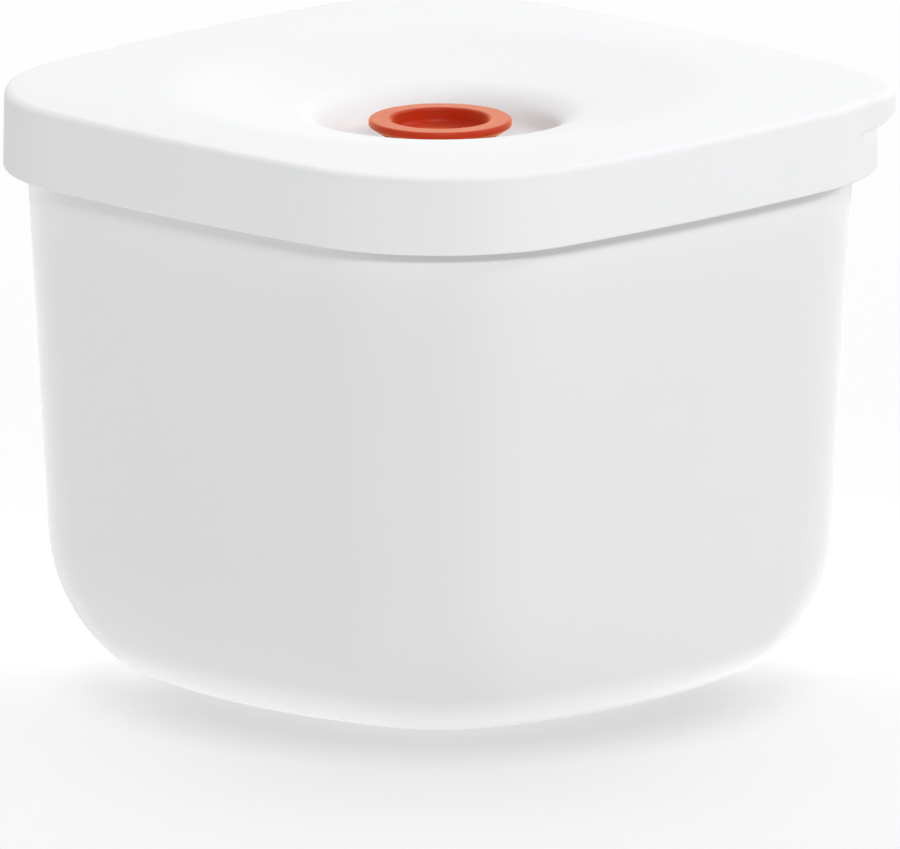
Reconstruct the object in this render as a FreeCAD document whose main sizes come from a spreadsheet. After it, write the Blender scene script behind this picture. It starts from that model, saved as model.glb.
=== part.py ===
"""Vacuum seal canister: a soft-square tub, a press-on lid with a seal, and a pull-up release valve in a well.

Frame: millimetres, +Z up, origin at the middle of the floor that the tub stands on.
X and Y run square to the flat sides, and the lid's pull lip is on the +X +Y corner.
"""
import FreeCAD
import Part
import math
import os

import Sketcher
from FreeCAD import Placement, Rotation, Vector

# Driving dimensions, all in millimetres: name, value, what it measures
SIZES = [
    ("total_height", 134.6, "standing surface to the lid's top face"),
    ("lid_side", 168.0, "lid across its flats, at the skirt's lower edge"),
    ("lid_corner", 43.7, "radius of the lid's corners, in plan"),
    ("lid_bow", 549.0, "radius that the lid's sides bow out to, in plan"),
    ("lid_skirt", 18.0, "height of the lid's outer wall"),
    ("lid_lean", 0.3, "how far the skirt leans in from its lower edge to the top"),
    ("lid_wall", 2.4, "thickness of the skirt"),
    ("lid_roof", 2.4, "thickness of the lid's top"),
    ("lid_edge_round", 1.9, "radius of the lid's top edge"),
    ("skirt_edge_round", 0.5, "radius of the skirt's lower outer edge"),
    ("lip_reach", 4.1, "how far the pull lip stands out past the corner"),
    ("lip_round", 20.0, "radius of the pull lip's nose, in plan"),
    ("lip_blend", 45.0, "radius where the pull lip runs into the corner, in plan"),
    ("lip_root", 7.2, "height of the pull lip where it meets the skirt"),
    ("lip_tip", 5.0, "height of the pull lip at its tip"),
    ("dish_width", 27.2, "width of the shallow dish round the valve well"),
    ("dish_depth", 5.2, "drop of the dish from the lid's top to the well's mouth"),
    ("well_lip_width", 7.4, "width of the turn from the dish into the well"),
    ("well_lip_drop", 6.6, "drop of that turn"),
    ("well_bowl_width", 4.8, "width of the curve from the well's wall to its floor"),
    ("well_bowl_drop", 3.6, "drop of that curve"),
    ("well_floor_radius", 20.8, "radius of the well's flat floor"),
    ("well_wall", 2.3, "thickness under the dish and round the well"),
    ("plug_gap", 0.8, "gap between the lid's plug wall and the tub's mouth"),
    ("plug_wall", 2.0, "thickness of the lid's plug wall"),
    ("plug_drop", 7.0, "height of the plug wall below the lid's roof"),
    ("rib_width", 1.8, "thickness of the ribs under the lid"),
    ("rib_drop", 8.0, "height of the ribs below the lid's roof"),
    ("seal_height", 2.2, "thickness of the lid's seal"),
    ("seal_clearance", 0.2, "gap from the seal to the walls of its channel"),
    ("seal_groove_width", 1.8, "width of the relief groove under the seal"),
    ("seal_groove_depth", 0.7, "depth of the relief groove under the seal"),
    ("rim_gap", 0.6, "gap between the skirt and the tub's rim"),
    ("rim_height", 3.0, "height of the bead round the tub's rim"),
    ("rim_round", 0.6, "radius of the rim's outer edges"),
    ("tub_inset", 5.5, "skirt's outer face to the tub's wall under it"),
    ("tub_lean", 4.76, "how far the wall leans in from the skirt to the foot"),
    ("tub_wall", 2.8, "thickness of the tub's wall"),
    ("tub_floor", 3.2, "thickness of the tub's floor"),
    ("foot_height", 33.0, "height of the sweep from wall to floor"),
    ("foot_reach", 17.7, "how far the sweep runs in under the wall"),
    ("floor_corner", 25.2, "radius of the flat floor's corners, in plan"),
    ("floor_bow", 108.8, "radius that the flat floor's sides bow out to, in plan"),
    ("base_ring", 6.0, "width of the ring that the tub stands on"),
    ("base_recess", 0.8, "depth of the recess inside that ring"),
    ("flap_height", 1.0, "thickness of the sealing flap at its middle"),
    ("flap_edge", 0.5, "thickness of the flap at its edge"),
    ("flap_lap", 2.7, "how far the flap reaches past the vents"),
    ("button_lip", 0.9, "thickness of the button's lip under the stem's head"),
    ("button_skin", 3.1, "thickness of the button round the stem's head"),
    ("button_floor", 0.9, "thickness of the button above the stem's head"),
    ("button_neck", 1.2, "height of the button's neck above the flap"),
    ("button_edge", 1.5, "thickness of the button's rim at its edge"),
    ("button_rim", 5.0, "width of the button's rim round its cup"),
    ("button_round", 0.7, "radius of the rim's upper edges"),
    ("cup_floor_radius", 7.6, "radius of the flat floor of the button's finger cup"),
    ("cup_flare", 3.6, "how far the cup widens from its floor to its rim"),
    ("cup_depth", 4.2, "depth of the finger cup"),
    ("stem_radius", 2.5, "radius of the valve stem"),
    ("stem_clearance", 0.06, "running gap between the stem and its guide"),
    ("head_reach", 3.9, "how far the stem's head reaches past the stem"),
    ("head_height", 1.1, "thickness of the stem's head"),
    ("core_clearance", 0.1, "gap round the stem and its head inside the soft pieces"),
    ("guide_wall", 1.74, "thickness of the guide that the stem slides in"),
    ("guide_length", 2.4, "length of the guide below the well"),
    ("vent_radius", 1.5, "radius of the air vents in the well's floor"),
    ("vent_gap", 3.0, "distance from the guide to the vents"),
    ("spring_clearance", 0.75, "gap between the spring and the guide inside it"),
    ("spring_wire", 0.7, "thickness of the spring's wire"),
    ("spring_height", 7.0, "height of the spring between its seats"),
    ("spring_gap", 0.05, "gap between the spring's ends and their seats"),
    ("clip_height", 2.0, "thickness of the clip under the spring"),
    ("clip_clearance", 0.45, "gap between the spring and the clip's rim"),
    ("clip_rim_width", 1.0, "width of the rim that centres the spring"),
    ("clip_rim_height", 0.7, "height of the rim that centres the spring"),
    ("clip_fit", 0.05, "gap between the clip and the stem's groove"),
    ("groove_cut", 0.7, "depth of the groove that the clip sits in"),
    ("barb_grip", 0.6, "how far the stem's barb reaches under the clip"),
    ("barb_height", 1.2, "length of the barb"),
    ("overrun", 2.0, "how far a cut runs past the face that it opens"),
]
VENT_COUNT = 6
SPRING_TURNS = 4
RIB_COUNT = 4
# Angles down the tub's foot, from the upright wall at 0 to the flat floor at 90
FOOT_ANGLES = (0, 22.5, 45, 67.5, 90)
# Radii of arcs, as shares of their chords: a quarter circle, and the curves of the well and the cup
QUARTER_SHARE = 0.7071
WELL_LIP_SHARE = 0.952
WELL_BOWL_SHARE = 0.837
CUP_SHARE = 0.72
LIP_UNDER_SHARE = 1.1
BARB_TIP_SHARE = 0.5
CLIP_SLOT_SHARE = 1.75
# Sweep, in degrees, of the cut that shapes the pull lip's underside
LIP_UNDER_SWEEP = 84
# Quarter turns are split in two arcs, so this many arcs make a turn of the spring
QUARTERS_PER_TURN = 4

doc = FreeCAD.newDocument("canister")


class Size:
    """A length that carries its value in millimetres and its formula in the sheet's names."""

    def __init__(self, value, formula):
        self.value = float(value)
        self.formula = formula

    def _join(self, other, sign, value):
        formula = other.formula if isinstance(other, Size) else repr(other)
        return Size(value, f"({self.formula} {sign} {formula})")

    def __add__(self, other):
        return self._join(other, "+", self.value + amount(other))

    def __sub__(self, other):
        return self._join(other, "-", self.value - amount(other))

    def __mul__(self, other):
        return self._join(other, "*", self.value * amount(other))

    def __truediv__(self, other):
        return self._join(other, "/", self.value / amount(other))


def amount(size):
    return size.value if isinstance(size, Size) else float(size)


def root(size):
    return Size(math.sqrt(size.value), f"sqrt({size.formula})")


def make_sheet():
    """The sheet of driving dimensions, and each one as a Size under its own name."""
    sheet = doc.addObject("Spreadsheet::Sheet", "Sizes")
    named = {}
    for row, (name, value, note) in enumerate(SIZES, start=1):
        sheet.set(f"A{row}", name)
        sheet.set(f"B{row}", str(value))
        sheet.setAlias(f"B{row}", name)
        sheet.set(f"C{row}", note)
        named[name] = Size(value, f"Sizes.{name}")
    doc.recompute()
    return named


S = make_sheet()
ZERO = S["overrun"] - S["overrun"]
# Edges are told apart by their places to within this distance
SLACK = S["seal_clearance"].value / 20

# Levels that several pieces share, measured up from the standing surface
TOP = S["total_height"]
SKIRT_FOOT = TOP - S["lid_skirt"]
ROOF_UNDERSIDE = TOP - S["lid_roof"]
RIM_TOP = ROOF_UNDERSIDE - S["seal_height"]
PLUG_FOOT = ROOF_UNDERSIDE - S["plug_drop"]
WELL_MOUTH = TOP - S["dish_depth"]
WELL_THROAT = WELL_MOUTH - S["well_lip_drop"]
WELL_FLOOR = WELL_THROAT - S["well_bowl_drop"]
WELL_UNDERSIDE = WELL_FLOOR - S["well_wall"]
FLAP_TOP = WELL_FLOOR + S["flap_height"]
HEAD_UNDERSIDE = FLAP_TOP + S["button_lip"]
HEAD_TOP = HEAD_UNDERSIDE + S["head_height"]
CUP_FLOOR = HEAD_TOP + S["button_floor"]
BUTTON_TOP = CUP_FLOOR + S["cup_depth"]
CLIP_TOP = WELL_UNDERSIDE - S["spring_height"]
CLIP_UNDERSIDE = CLIP_TOP - S["clip_height"]
STEM_TIP = CLIP_UNDERSIDE - S["barb_height"]

# Radii about the valve's axis that several pieces share
THROAT_RADIUS = S["well_floor_radius"] + S["well_bowl_width"]
MOUTH_RADIUS = THROAT_RADIUS + S["well_lip_width"]
DISH_RADIUS = MOUTH_RADIUS + S["dish_width"]
HEAD_RADIUS = S["stem_radius"] + S["head_reach"]
GUIDE_BORE = S["stem_radius"] + S["stem_clearance"]
GUIDE_RADIUS = GUIDE_BORE + S["guide_wall"]
VENT_CIRCLE = GUIDE_RADIUS + S["vent_gap"] + S["vent_radius"]
FLAP_RADIUS = VENT_CIRCLE + S["vent_radius"] + S["flap_lap"]
SPRING_RADIUS = GUIDE_RADIUS + S["spring_clearance"] + S["spring_wire"] / 2
GROOVE_RADIUS = S["stem_radius"] - S["groove_cut"]
CORE_BORE = S["stem_radius"] + S["core_clearance"]

# Half sides and insets in plan that several pieces share
LID_HALF = S["lid_side"] / 2
WALL_HEIGHT = SKIRT_FOOT - S["foot_height"]
RIM_INSET = S["lid_wall"] + S["rim_gap"]


def wall_inset(level):
    """How far the tub's outer wall lies inside the lid's outline at a level."""
    return S["tub_inset"] + S["tub_lean"] * (SKIRT_FOOT - level) / WALL_HEIGHT


PLUG_INSET = wall_inset(PLUG_FOOT) + S["tub_wall"] + S["plug_gap"]


def lid_offset(inset):
    """The lid's outline moved in by a distance: half side, corner radius and bow radius."""
    return LID_HALF - inset, S["lid_corner"] - inset, S["lid_bow"] - inset


def corner_middle(half, corner, bow):
    """Distance along X and along Y from the axis to the centre of a soft square's corner arc."""
    reach = bow - half
    span = bow - corner
    return (root(span * span * 2 - reach * reach) - reach) / 2


CORNER_MIDDLE = corner_middle(*lid_offset(ZERO))
CORNER_ARM = CORNER_MIDDLE * math.sqrt(2)


def new_body(label):
    body = doc.addObject("PartDesign::Body", label)
    body.Label = label
    return body


def new_sketch(body, name, role="XY_Plane", level=None, turn=0):
    """A sketch on one of the body's origin planes, raised to a level and turned about the Z axis by degrees."""
    sketch = body.newObject("Sketcher::SketchObject", name)
    plane = next(f for f in body.Origin.OriginFeatures if f.Role == role)
    sketch.AttachmentSupport = [(plane, "")]
    sketch.MapMode = "FlatFace"
    upright = Vector(0, 0, 1) if role == "XY_Plane" else Vector(0, 1, 0)
    sketch.AttachmentOffset = Placement(Vector(), Rotation(upright, turn))
    if level is not None:
        sketch.setExpression("AttachmentOffset.Base.z", level.formula)
    return sketch


def fix(sketch, kind, where, size):
    """A dimension of a sketch that follows the sheet."""
    index = sketch.addConstraint(Sketcher.Constraint(kind, *where, size.value))
    sketch.renameConstraint(index, f"size_{index}")
    sketch.setExpression(f"Constraints.size_{index}", size.formula)


def tie(sketch, kind, *where):
    """A relation between a sketch's elements."""
    sketch.addConstraint(Sketcher.Constraint(kind, *where))


def draw_soft_square(sketch, half, corner, bow):
    """Four sides bowed to a radius, with their crowns at half a side, joined by tangent corner arcs."""
    reach = bow.value - half.value
    middle = corner_middle(half, corner, bow).value
    lean = math.atan2(middle, middle + reach)
    first = sketch.GeometryCount
    normal = Vector(0, 0, 1)
    for quarter in range(4):
        turn = quarter * math.pi / 2
        outward = Vector(math.cos(turn), math.sin(turn), 0)
        along = Vector(-math.sin(turn), math.cos(turn), 0)
        side = Part.Circle(outward * -reach, normal, bow.value)
        sketch.addGeometry(Part.ArcOfCircle(side, turn - lean, turn + lean))
        round_corner = Part.Circle((outward + along) * middle, normal, corner.value)
        sketch.addGeometry(Part.ArcOfCircle(round_corner, turn + lean, turn + math.pi / 2 - lean))
    sides = range(first, first + 8, 2)
    corners = range(first + 1, first + 8, 2)
    for i in range(8):
        tie(sketch, "Tangent", first + i, 2, first + (i + 1) % 8, 1)
    for i, side in enumerate(sides):
        tie(sketch, "PointOnObject", side, 3, -1 - i % 2)
    for other in sides[1:]:
        tie(sketch, "Equal", sides[0], other)
    for other in corners[1:]:
        tie(sketch, "Equal", corners[0], other)
    fix(sketch, "Radius", (sides[0],), bow)
    fix(sketch, "Radius", (corners[0],), corner)
    fix(sketch, "DistanceX", (sides[0], 3, -1, 1), bow - half)
    fix(sketch, "DistanceY", (sides[1], 3, -1, 1), bow - half)
    fix(sketch, "DistanceX", (-1, 1, sides[2], 3), bow - half)
    fix(sketch, "DistanceY", (-1, 1, sides[3], 3), bow - half)


def arc_between(start, end, radius, turn):
    """The short arc from start to end, bending left on the way where turn is 1 and right where it is -1."""
    chord = end - start
    rise = math.sqrt(radius ** 2 - (chord.Length / 2) ** 2)
    left = Vector(-chord.y, chord.x, 0).normalize()
    circle = Part.Circle((start + end) * 0.5 + left * (rise * turn), Vector(0, 0, 1), radius)
    first, last = (start, end) if turn > 0 else (end, start)
    return Part.ArcOfCircle(circle, circle.parameter(first), circle.parameter(last))


def draw_profile(sketch, corners, arcs=None):
    """A closed profile through corners of (out, up), straight but for arcs {corner: (share, turn)}.

    An arc starts at its corner. Its radius is a share of its chord, and it turns left for 1 and right for -1.
    """
    arcs = arcs or {}
    points = [Vector(out.value, up.value, 0) for out, up in corners]
    ends = []
    for i, start in enumerate(points):
        after = (i + 1) % len(points)
        if i not in arcs:
            index = sketch.addGeometry(Part.LineSegment(start, points[after]))
            ends.append((index, 1, 2))
            continue
        share, turn = arcs[i]
        run = corners[after][0] - corners[i][0]
        rise = corners[after][1] - corners[i][1]
        radius = root(run * run + rise * rise) * share
        index = sketch.addGeometry(arc_between(start, points[after], radius.value, turn))
        ends.append((index, 1, 2) if turn > 0 else (index, 2, 1))
        fix(sketch, "Radius", (index,), radius)
    for i, (index, _, last) in enumerate(ends):
        after_index, after_start, _ = ends[(i + 1) % len(ends)]
        tie(sketch, "Coincident", index, last, after_index, after_start)
    for (index, start, _), (out, up) in zip(ends, corners):
        if out is ZERO:
            tie(sketch, "PointOnObject", index, start, -2)
        else:
            fix(sketch, "DistanceX", (-1, 1, index, start), out)
        fix(sketch, "DistanceY", (-1, 1, index, start), up)


def draw_circle(sketch, out, radius):
    """A circle on the sketch's X axis, at a distance out from the middle."""
    index = sketch.addGeometry(Part.Circle(Vector(out.value, 0, 0), Vector(0, 0, 1), radius.value))
    if out is ZERO:
        tie(sketch, "Coincident", index, 3, -1, 1)
    else:
        tie(sketch, "PointOnObject", index, 3, -1)
        fix(sketch, "DistanceX", (-1, 1, index, 3), out)
    fix(sketch, "Radius", (index,), radius)


def add_feature(body, kind, name, profile):
    feature = body.newObject(f"PartDesign::{kind}", name)
    feature.Profile = profile
    return feature


def extrude(body, name, sketch, height, kind="Pad"):
    """Raises a sketch as material, or cuts upwards from it."""
    feature = add_feature(body, kind, name, sketch)
    feature.setExpression("Length", height.formula)
    feature.Reversed = kind == "Pocket"
    doc.recompute()
    return feature


def extrude_outlines(body, name, outlines, low, high, kind="Pad"):
    """Soft squares, the second one a hole in the first, extruded from one level up to another."""
    sketch = new_sketch(body, f"{name}_outline", level=low)
    for outline in outlines:
        draw_soft_square(sketch, *outline)
    return extrude(body, name, sketch, high - low, kind)


def turn_profile(body, name, corners, arcs=None, kind="Revolution"):
    """A profile in the XZ plane turned about the Z axis, as material or as a groove."""
    sketch = new_sketch(body, f"{name}_profile", "XZ_Plane")
    draw_profile(sketch, corners, arcs)
    feature = add_feature(body, kind, name, sketch)
    feature.ReferenceAxis = (sketch, ["V_Axis"])
    feature.Angle = 360
    doc.recompute()
    return feature


def loft_outlines(body, name, sections, kind="AdditiveLoft", ruled=False):
    """A loft through soft squares given as (level, outline)."""
    sketches = []
    for i, (level, outline) in enumerate(sections):
        sketch = new_sketch(body, f"{name}_section_{i}", level=level)
        draw_soft_square(sketch, *outline)
        sketches.append(sketch)
    doc.recompute()
    feature = add_feature(body, kind, name, sketches[0])
    feature.Sections = sketches[1:]
    feature.Ruled = ruled
    doc.recompute()
    return feature


def repeat_round(body, feature, count):
    """Copies of a feature at even turns about the Z axis."""
    pattern = body.newObject("PartDesign::PolarPattern", f"{feature.Name}_pattern")
    pattern.Originals = [feature]
    pattern.Axis = (feature.Profile[0], ["N_Axis"])
    pattern.Angle = 360
    pattern.Occurrences = count
    body.Tip = pattern
    doc.recompute()


def round_edges(body, name, chosen, radius):
    """Rounds the edges of the body's last feature for which chosen(edge) is true."""
    base = body.Tip
    edges = [f"Edge{i}" for i, edge in enumerate(base.Shape.Edges, start=1) if chosen(edge)]
    fillet = body.newObject("PartDesign::Fillet", name)
    fillet.Base = (base, edges)
    fillet.setExpression("Radius", radius.formula)
    doc.recompute()
    return fillet


def is_level(edge, level):
    """True for an edge that lies flat at a level."""
    box = edge.BoundBox
    return abs(box.ZMin - level.value) < SLACK and abs(box.ZMax - level.value) < SLACK


def middle_of(edge):
    return edge.valueAt((edge.FirstParameter + edge.LastParameter) / 2)


def outline_gap(point, half, corner, bow):
    """How far a point lies outside a soft square, in plan."""
    reach = bow.value - half.value
    middle = corner_middle(half, corner, bow).value
    across, along = sorted((abs(point.x), abs(point.y)), reverse=True)
    if along * (middle + reach) < across * middle + reach * middle:
        return math.hypot(across + reach, along) - bow.value
    return math.hypot(across - middle, along - middle) - corner.value


def flat_floor():
    """Outline of the tub's flat floor."""
    half = LID_HALF - wall_inset(S["foot_height"]) - S["foot_reach"]
    return half, S["floor_corner"], S["floor_bow"]


def foot_sections(wall, floor):
    """Sections of the foot's sweep: the wall's own lean, drawn in to the flat floor along an ellipse."""
    sections = []
    for angle in FOOT_ANGLES:
        in_share = round(1 - math.cos(math.radians(angle)), 6)
        up_share = round(1 - math.sin(math.radians(angle)), 6)
        level = floor + (S["foot_height"] - floor) * up_share
        half, corner, bow = lid_offset(wall_inset(level) + wall)
        flat_half, flat_corner, flat_bow = flat_floor()
        outline = (
            half * (1 - in_share) + flat_half * in_share,
            corner * (1 - in_share) + flat_corner * in_share,
            bow * flat_bow / (flat_bow * (1 - in_share) + bow * in_share),
        )
        sections.append((level, outline))
    return sections


def wall_sections(wall, top):
    """Sections of the tub's leaning wall, from a level at its top down to its foot."""
    return [(level, lid_offset(wall_inset(level) + wall)) for level in (top, S["foot_height"])]


def build_tub():
    """The tub: a leaning wall on a swept foot, a bead round its rim, hollow, with a recess under its floor."""
    body = new_body("tub")
    loft_outlines(body, "wall_outside", wall_sections(ZERO, RIM_TOP), ruled=True)
    loft_outlines(body, "foot_outside", foot_sections(ZERO, ZERO))
    rim = lid_offset(RIM_INSET)
    rim_foot = RIM_TOP - S["rim_height"]
    extrude_outlines(body, "rim_bead", [rim], rim_foot, RIM_TOP)

    def on_bead(edge):
        level = is_level(edge, RIM_TOP) or is_level(edge, rim_foot)
        return level and abs(outline_gap(middle_of(edge), *rim)) < SLACK

    round_edges(body, "rim_rounding", on_bead, S["rim_round"])
    wall = S["tub_wall"]
    above = RIM_TOP + S["overrun"]
    loft_outlines(body, "wall_hollow", wall_sections(wall, above), kind="SubtractiveLoft", ruled=True)
    loft_outlines(body, "foot_hollow", foot_sections(wall, S["tub_floor"]), kind="SubtractiveLoft")
    recess = [size - S["base_ring"] for size in flat_floor()]
    extrude_outlines(body, "base_recess_cut", [recess], ZERO, S["base_recess"], kind="Pocket")


def add_pull_lip(body):
    """A nose on the +X +Y corner that runs smoothly into the skirt, with an underside that rises to its tip."""
    nose_out = CORNER_ARM + S["lid_corner"] + S["lip_reach"] - S["lip_round"]
    sketch = new_sketch(body, "lip_outline", level=TOP - S["lip_root"], turn=45)
    centre = Vector(nose_out.value, 0, 0)
    circle = Part.Circle(centre, Vector(0, 0, 1), S["lip_round"].value)
    arc = sketch.addGeometry(Part.ArcOfCircle(circle, -math.pi / 2, math.pi / 2))
    side = Vector(0, S["lip_round"].value, 0)
    chord = sketch.addGeometry(Part.LineSegment(centre + side, centre - side))
    tie(sketch, "Coincident", arc, 2, chord, 1)
    tie(sketch, "Coincident", chord, 2, arc, 1)
    tie(sketch, "PointOnObject", arc, 3, -1)
    tie(sketch, "PointOnObject", arc, 3, chord)
    tie(sketch, "Vertical", chord)
    fix(sketch, "DistanceX", (-1, 1, arc, 3), nose_out)
    fix(sketch, "Radius", (arc,), S["lip_round"])
    extrude(body, "pull_lip", sketch, S["lip_root"])

    def in_notch(edge):
        box = edge.BoundBox
        upright = abs(box.ZLength - S["lip_root"].value) < SLACK and abs(box.ZMax - TOP.value) < SLACK
        out = middle_of(edge) - Vector(nose_out.value, nose_out.value, 0) / math.sqrt(2)
        return upright and abs(math.hypot(out.x, out.y) - S["lip_round"].value) < SLACK

    round_edges(body, "lip_blending", in_notch, S["lip_blend"])
    skirt = CORNER_ARM + S["lid_corner"]
    tip = skirt + S["lip_reach"]
    beyond = tip + S["overrun"]
    low = TOP - S["lip_root"] - S["overrun"]
    corners = [
        (skirt, low),
        (beyond, low),
        (beyond, TOP - S["lip_tip"]),
        (tip, TOP - S["lip_tip"]),
        (skirt, TOP - S["lip_root"]),
    ]
    under = new_sketch(body, "lip_under_profile", "XZ_Plane", turn=45)
    draw_profile(under, corners, {3: (LIP_UNDER_SHARE, -1)})
    pivot_line = Part.LineSegment(Vector(CORNER_ARM.value, low.value, 0), Vector(CORNER_ARM.value, TOP.value, 0))
    pivot = under.addGeometry(pivot_line, True)
    tie(under, "Vertical", pivot)
    fix(under, "DistanceX", (-1, 1, pivot, 1), CORNER_ARM)
    fix(under, "DistanceY", (-1, 1, pivot, 1), low)
    fix(under, "DistanceY", (-1, 1, pivot, 2), TOP)
    groove = add_feature(body, "Groove", "lip_underside", under)
    groove.ReferenceAxis = (under, ["Axis0"])
    groove.Midplane = True
    groove.Angle = LIP_UNDER_SWEEP
    doc.recompute()


def add_ribs(body):
    """Stiffening ribs under the lid's roof, from the valve well to the plug wall, along the axes and diagonals."""
    inner = THROAT_RADIUS + S["well_wall"] / 2
    to_plug = PLUG_INSET + S["plug_wall"] / 2
    half_width = S["rib_width"] / 2
    reaches = {"side_rib": (LID_HALF - to_plug, 0), "corner_rib": (CORNER_ARM + S["lid_corner"] - to_plug, 45)}
    for name, (outer, turn) in reaches.items():
        sketch = new_sketch(body, f"{name}_outline", level=ROOF_UNDERSIDE - S["rib_drop"], turn=turn)
        below = half_width - S["rib_width"]
        corners = [(inner, below), (outer, below), (outer, half_width), (inner, half_width)]
        draw_profile(sketch, corners)
        repeat_round(body, extrude(body, name, sketch, S["rib_drop"]), RIB_COUNT)


def add_well(body):
    """The dish and the valve well: solid under the roof, then hollowed from above, with the stem's guide and vents."""
    inside_roof = TOP - S["lid_roof"] / 2
    guide_foot = WELL_UNDERSIDE - S["guide_length"]
    underside = [
        (ZERO, guide_foot),
        (GUIDE_RADIUS, guide_foot),
        (GUIDE_RADIUS, WELL_UNDERSIDE),
        (S["well_floor_radius"], WELL_UNDERSIDE),
        (THROAT_RADIUS + S["well_wall"], WELL_THROAT),
        (MOUTH_RADIUS, WELL_MOUTH - S["well_wall"]),
        (DISH_RADIUS, ROOF_UNDERSIDE),
        (DISH_RADIUS, inside_roof),
        (ZERO, inside_roof),
    ]
    turn_profile(body, "well_outside", underside, {3: (WELL_BOWL_SHARE, 1), 4: (WELL_LIP_SHARE, -1)})
    hollow = [
        (ZERO, WELL_FLOOR),
        (S["well_floor_radius"], WELL_FLOOR),
        (THROAT_RADIUS, WELL_THROAT),
        (MOUTH_RADIUS, WELL_MOUTH),
        (DISH_RADIUS, TOP),
        (DISH_RADIUS, TOP + S["overrun"]),
        (ZERO, TOP + S["overrun"]),
    ]
    arcs = {1: (WELL_BOWL_SHARE, 1), 2: (WELL_LIP_SHARE, -1)}
    turn_profile(body, "well_hollow", hollow, arcs, kind="Groove")
    bore = new_sketch(body, "guide_bore_circle", level=guide_foot)
    draw_circle(bore, ZERO, GUIDE_BORE)
    extrude(body, "guide_bore", bore, WELL_FLOOR - guide_foot, kind="Pocket")
    vent = new_sketch(body, "vent_circle", level=WELL_UNDERSIDE)
    draw_circle(vent, VENT_CIRCLE, S["vent_radius"])
    repeat_round(body, extrude(body, "vent", vent, S["well_wall"], kind="Pocket"), VENT_COUNT)


def build_lid():
    """The lid: a leaning skirt with a pull lip, hollow under its roof, with plug wall, ribs, dish and valve well."""
    body = new_body("lid")
    sections = [(SKIRT_FOOT, lid_offset(ZERO)), (TOP, lid_offset(S["lid_lean"]))]
    loft_outlines(body, "lid_outside", sections, ruled=True)
    add_pull_lip(body)
    round_edges(body, "lid_edge_rounding", lambda edge: is_level(edge, TOP), S["lid_edge_round"])
    round_edges(body, "skirt_edge_rounding", lambda edge: is_level(edge, SKIRT_FOOT), S["skirt_edge_round"])
    inside = lid_offset(S["lid_wall"])
    extrude_outlines(body, "lid_hollow", [inside], SKIRT_FOOT, ROOF_UNDERSIDE, kind="Pocket")
    plug = [lid_offset(PLUG_INSET), lid_offset(PLUG_INSET + S["plug_wall"])]
    extrude_outlines(body, "plug_ring", plug, PLUG_FOOT, ROOF_UNDERSIDE)
    add_ribs(body)
    add_well(body)


def build_lid_gasket():
    """The flat soft ring between skirt and plug wall, with a relief groove that leaves two sealing beads."""
    body = new_body("lid_gasket")
    outer = S["lid_wall"] + S["seal_clearance"]
    inner = PLUG_INSET - S["seal_clearance"]
    extrude_outlines(body, "seal_ring", [lid_offset(outer), lid_offset(inner)], RIM_TOP, ROOF_UNDERSIDE)
    start = (outer + inner - S["seal_groove_width"]) / 2
    groove = [lid_offset(start), lid_offset(start + S["seal_groove_width"])]
    groove_top = RIM_TOP + S["seal_groove_depth"]
    extrude_outlines(body, "seal_groove", groove, RIM_TOP, groove_top, kind="Pocket")


def build_valve_button():
    """The soft knob: a finger cup with a broad rim, drawn in below to a neck that holds the stem's head."""
    body = new_body("valve_button")
    cup = S["cup_floor_radius"] + S["cup_flare"]
    rim = cup + S["button_rim"]
    edge = S["button_round"]
    neck = HEAD_RADIUS + S["core_clearance"] + S["button_skin"]
    corners = [
        (ZERO, HEAD_TOP),
        (HEAD_RADIUS + S["core_clearance"], HEAD_TOP),
        (HEAD_RADIUS + S["core_clearance"], HEAD_UNDERSIDE),
        (CORE_BORE, HEAD_UNDERSIDE),
        (CORE_BORE, FLAP_TOP),
        (neck, FLAP_TOP),
        (neck, FLAP_TOP + S["button_neck"]),
        (rim, BUTTON_TOP - S["button_edge"]),
        (rim, BUTTON_TOP - edge),
        (rim - edge, BUTTON_TOP),
        (cup + edge, BUTTON_TOP),
        (cup, BUTTON_TOP - edge),
        (S["cup_floor_radius"], CUP_FLOOR),
        (ZERO, CUP_FLOOR),
    ]
    arcs = {8: (QUARTER_SHARE, 1), 10: (QUARTER_SHARE, 1), 11: (CUP_SHARE, -1)}
    turn_profile(body, "button_form", corners, arcs)


def build_valve_stem():
    """The stiff core: a flat head in the button, a round stem, a groove for the clip and a barbed tip."""
    body = new_body("valve_stem")
    barb = GROOVE_RADIUS + S["barb_grip"]
    corners = [
        (ZERO, STEM_TIP),
        (barb * BARB_TIP_SHARE, STEM_TIP),
        (barb, CLIP_UNDERSIDE),
        (GROOVE_RADIUS, CLIP_UNDERSIDE),
        (GROOVE_RADIUS, CLIP_TOP),
        (S["stem_radius"], CLIP_TOP),
        (S["stem_radius"], HEAD_UNDERSIDE),
        (HEAD_RADIUS, HEAD_UNDERSIDE),
        (HEAD_RADIUS, HEAD_TOP),
        (ZERO, HEAD_TOP),
    ]
    turn_profile(body, "stem_form", corners)


def build_valve_flap():
    """The soft disc over the vents, thick at its middle and thin at its edge."""
    body = new_body("valve_flap")
    neck = HEAD_RADIUS + S["core_clearance"] + S["button_skin"]
    corners = [
        (CORE_BORE, WELL_FLOOR),
        (FLAP_RADIUS, WELL_FLOOR),
        (FLAP_RADIUS, WELL_FLOOR + S["flap_edge"]),
        (neck, FLAP_TOP),
        (CORE_BORE, FLAP_TOP),
    ]
    turn_profile(body, "flap_form", corners)


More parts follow.
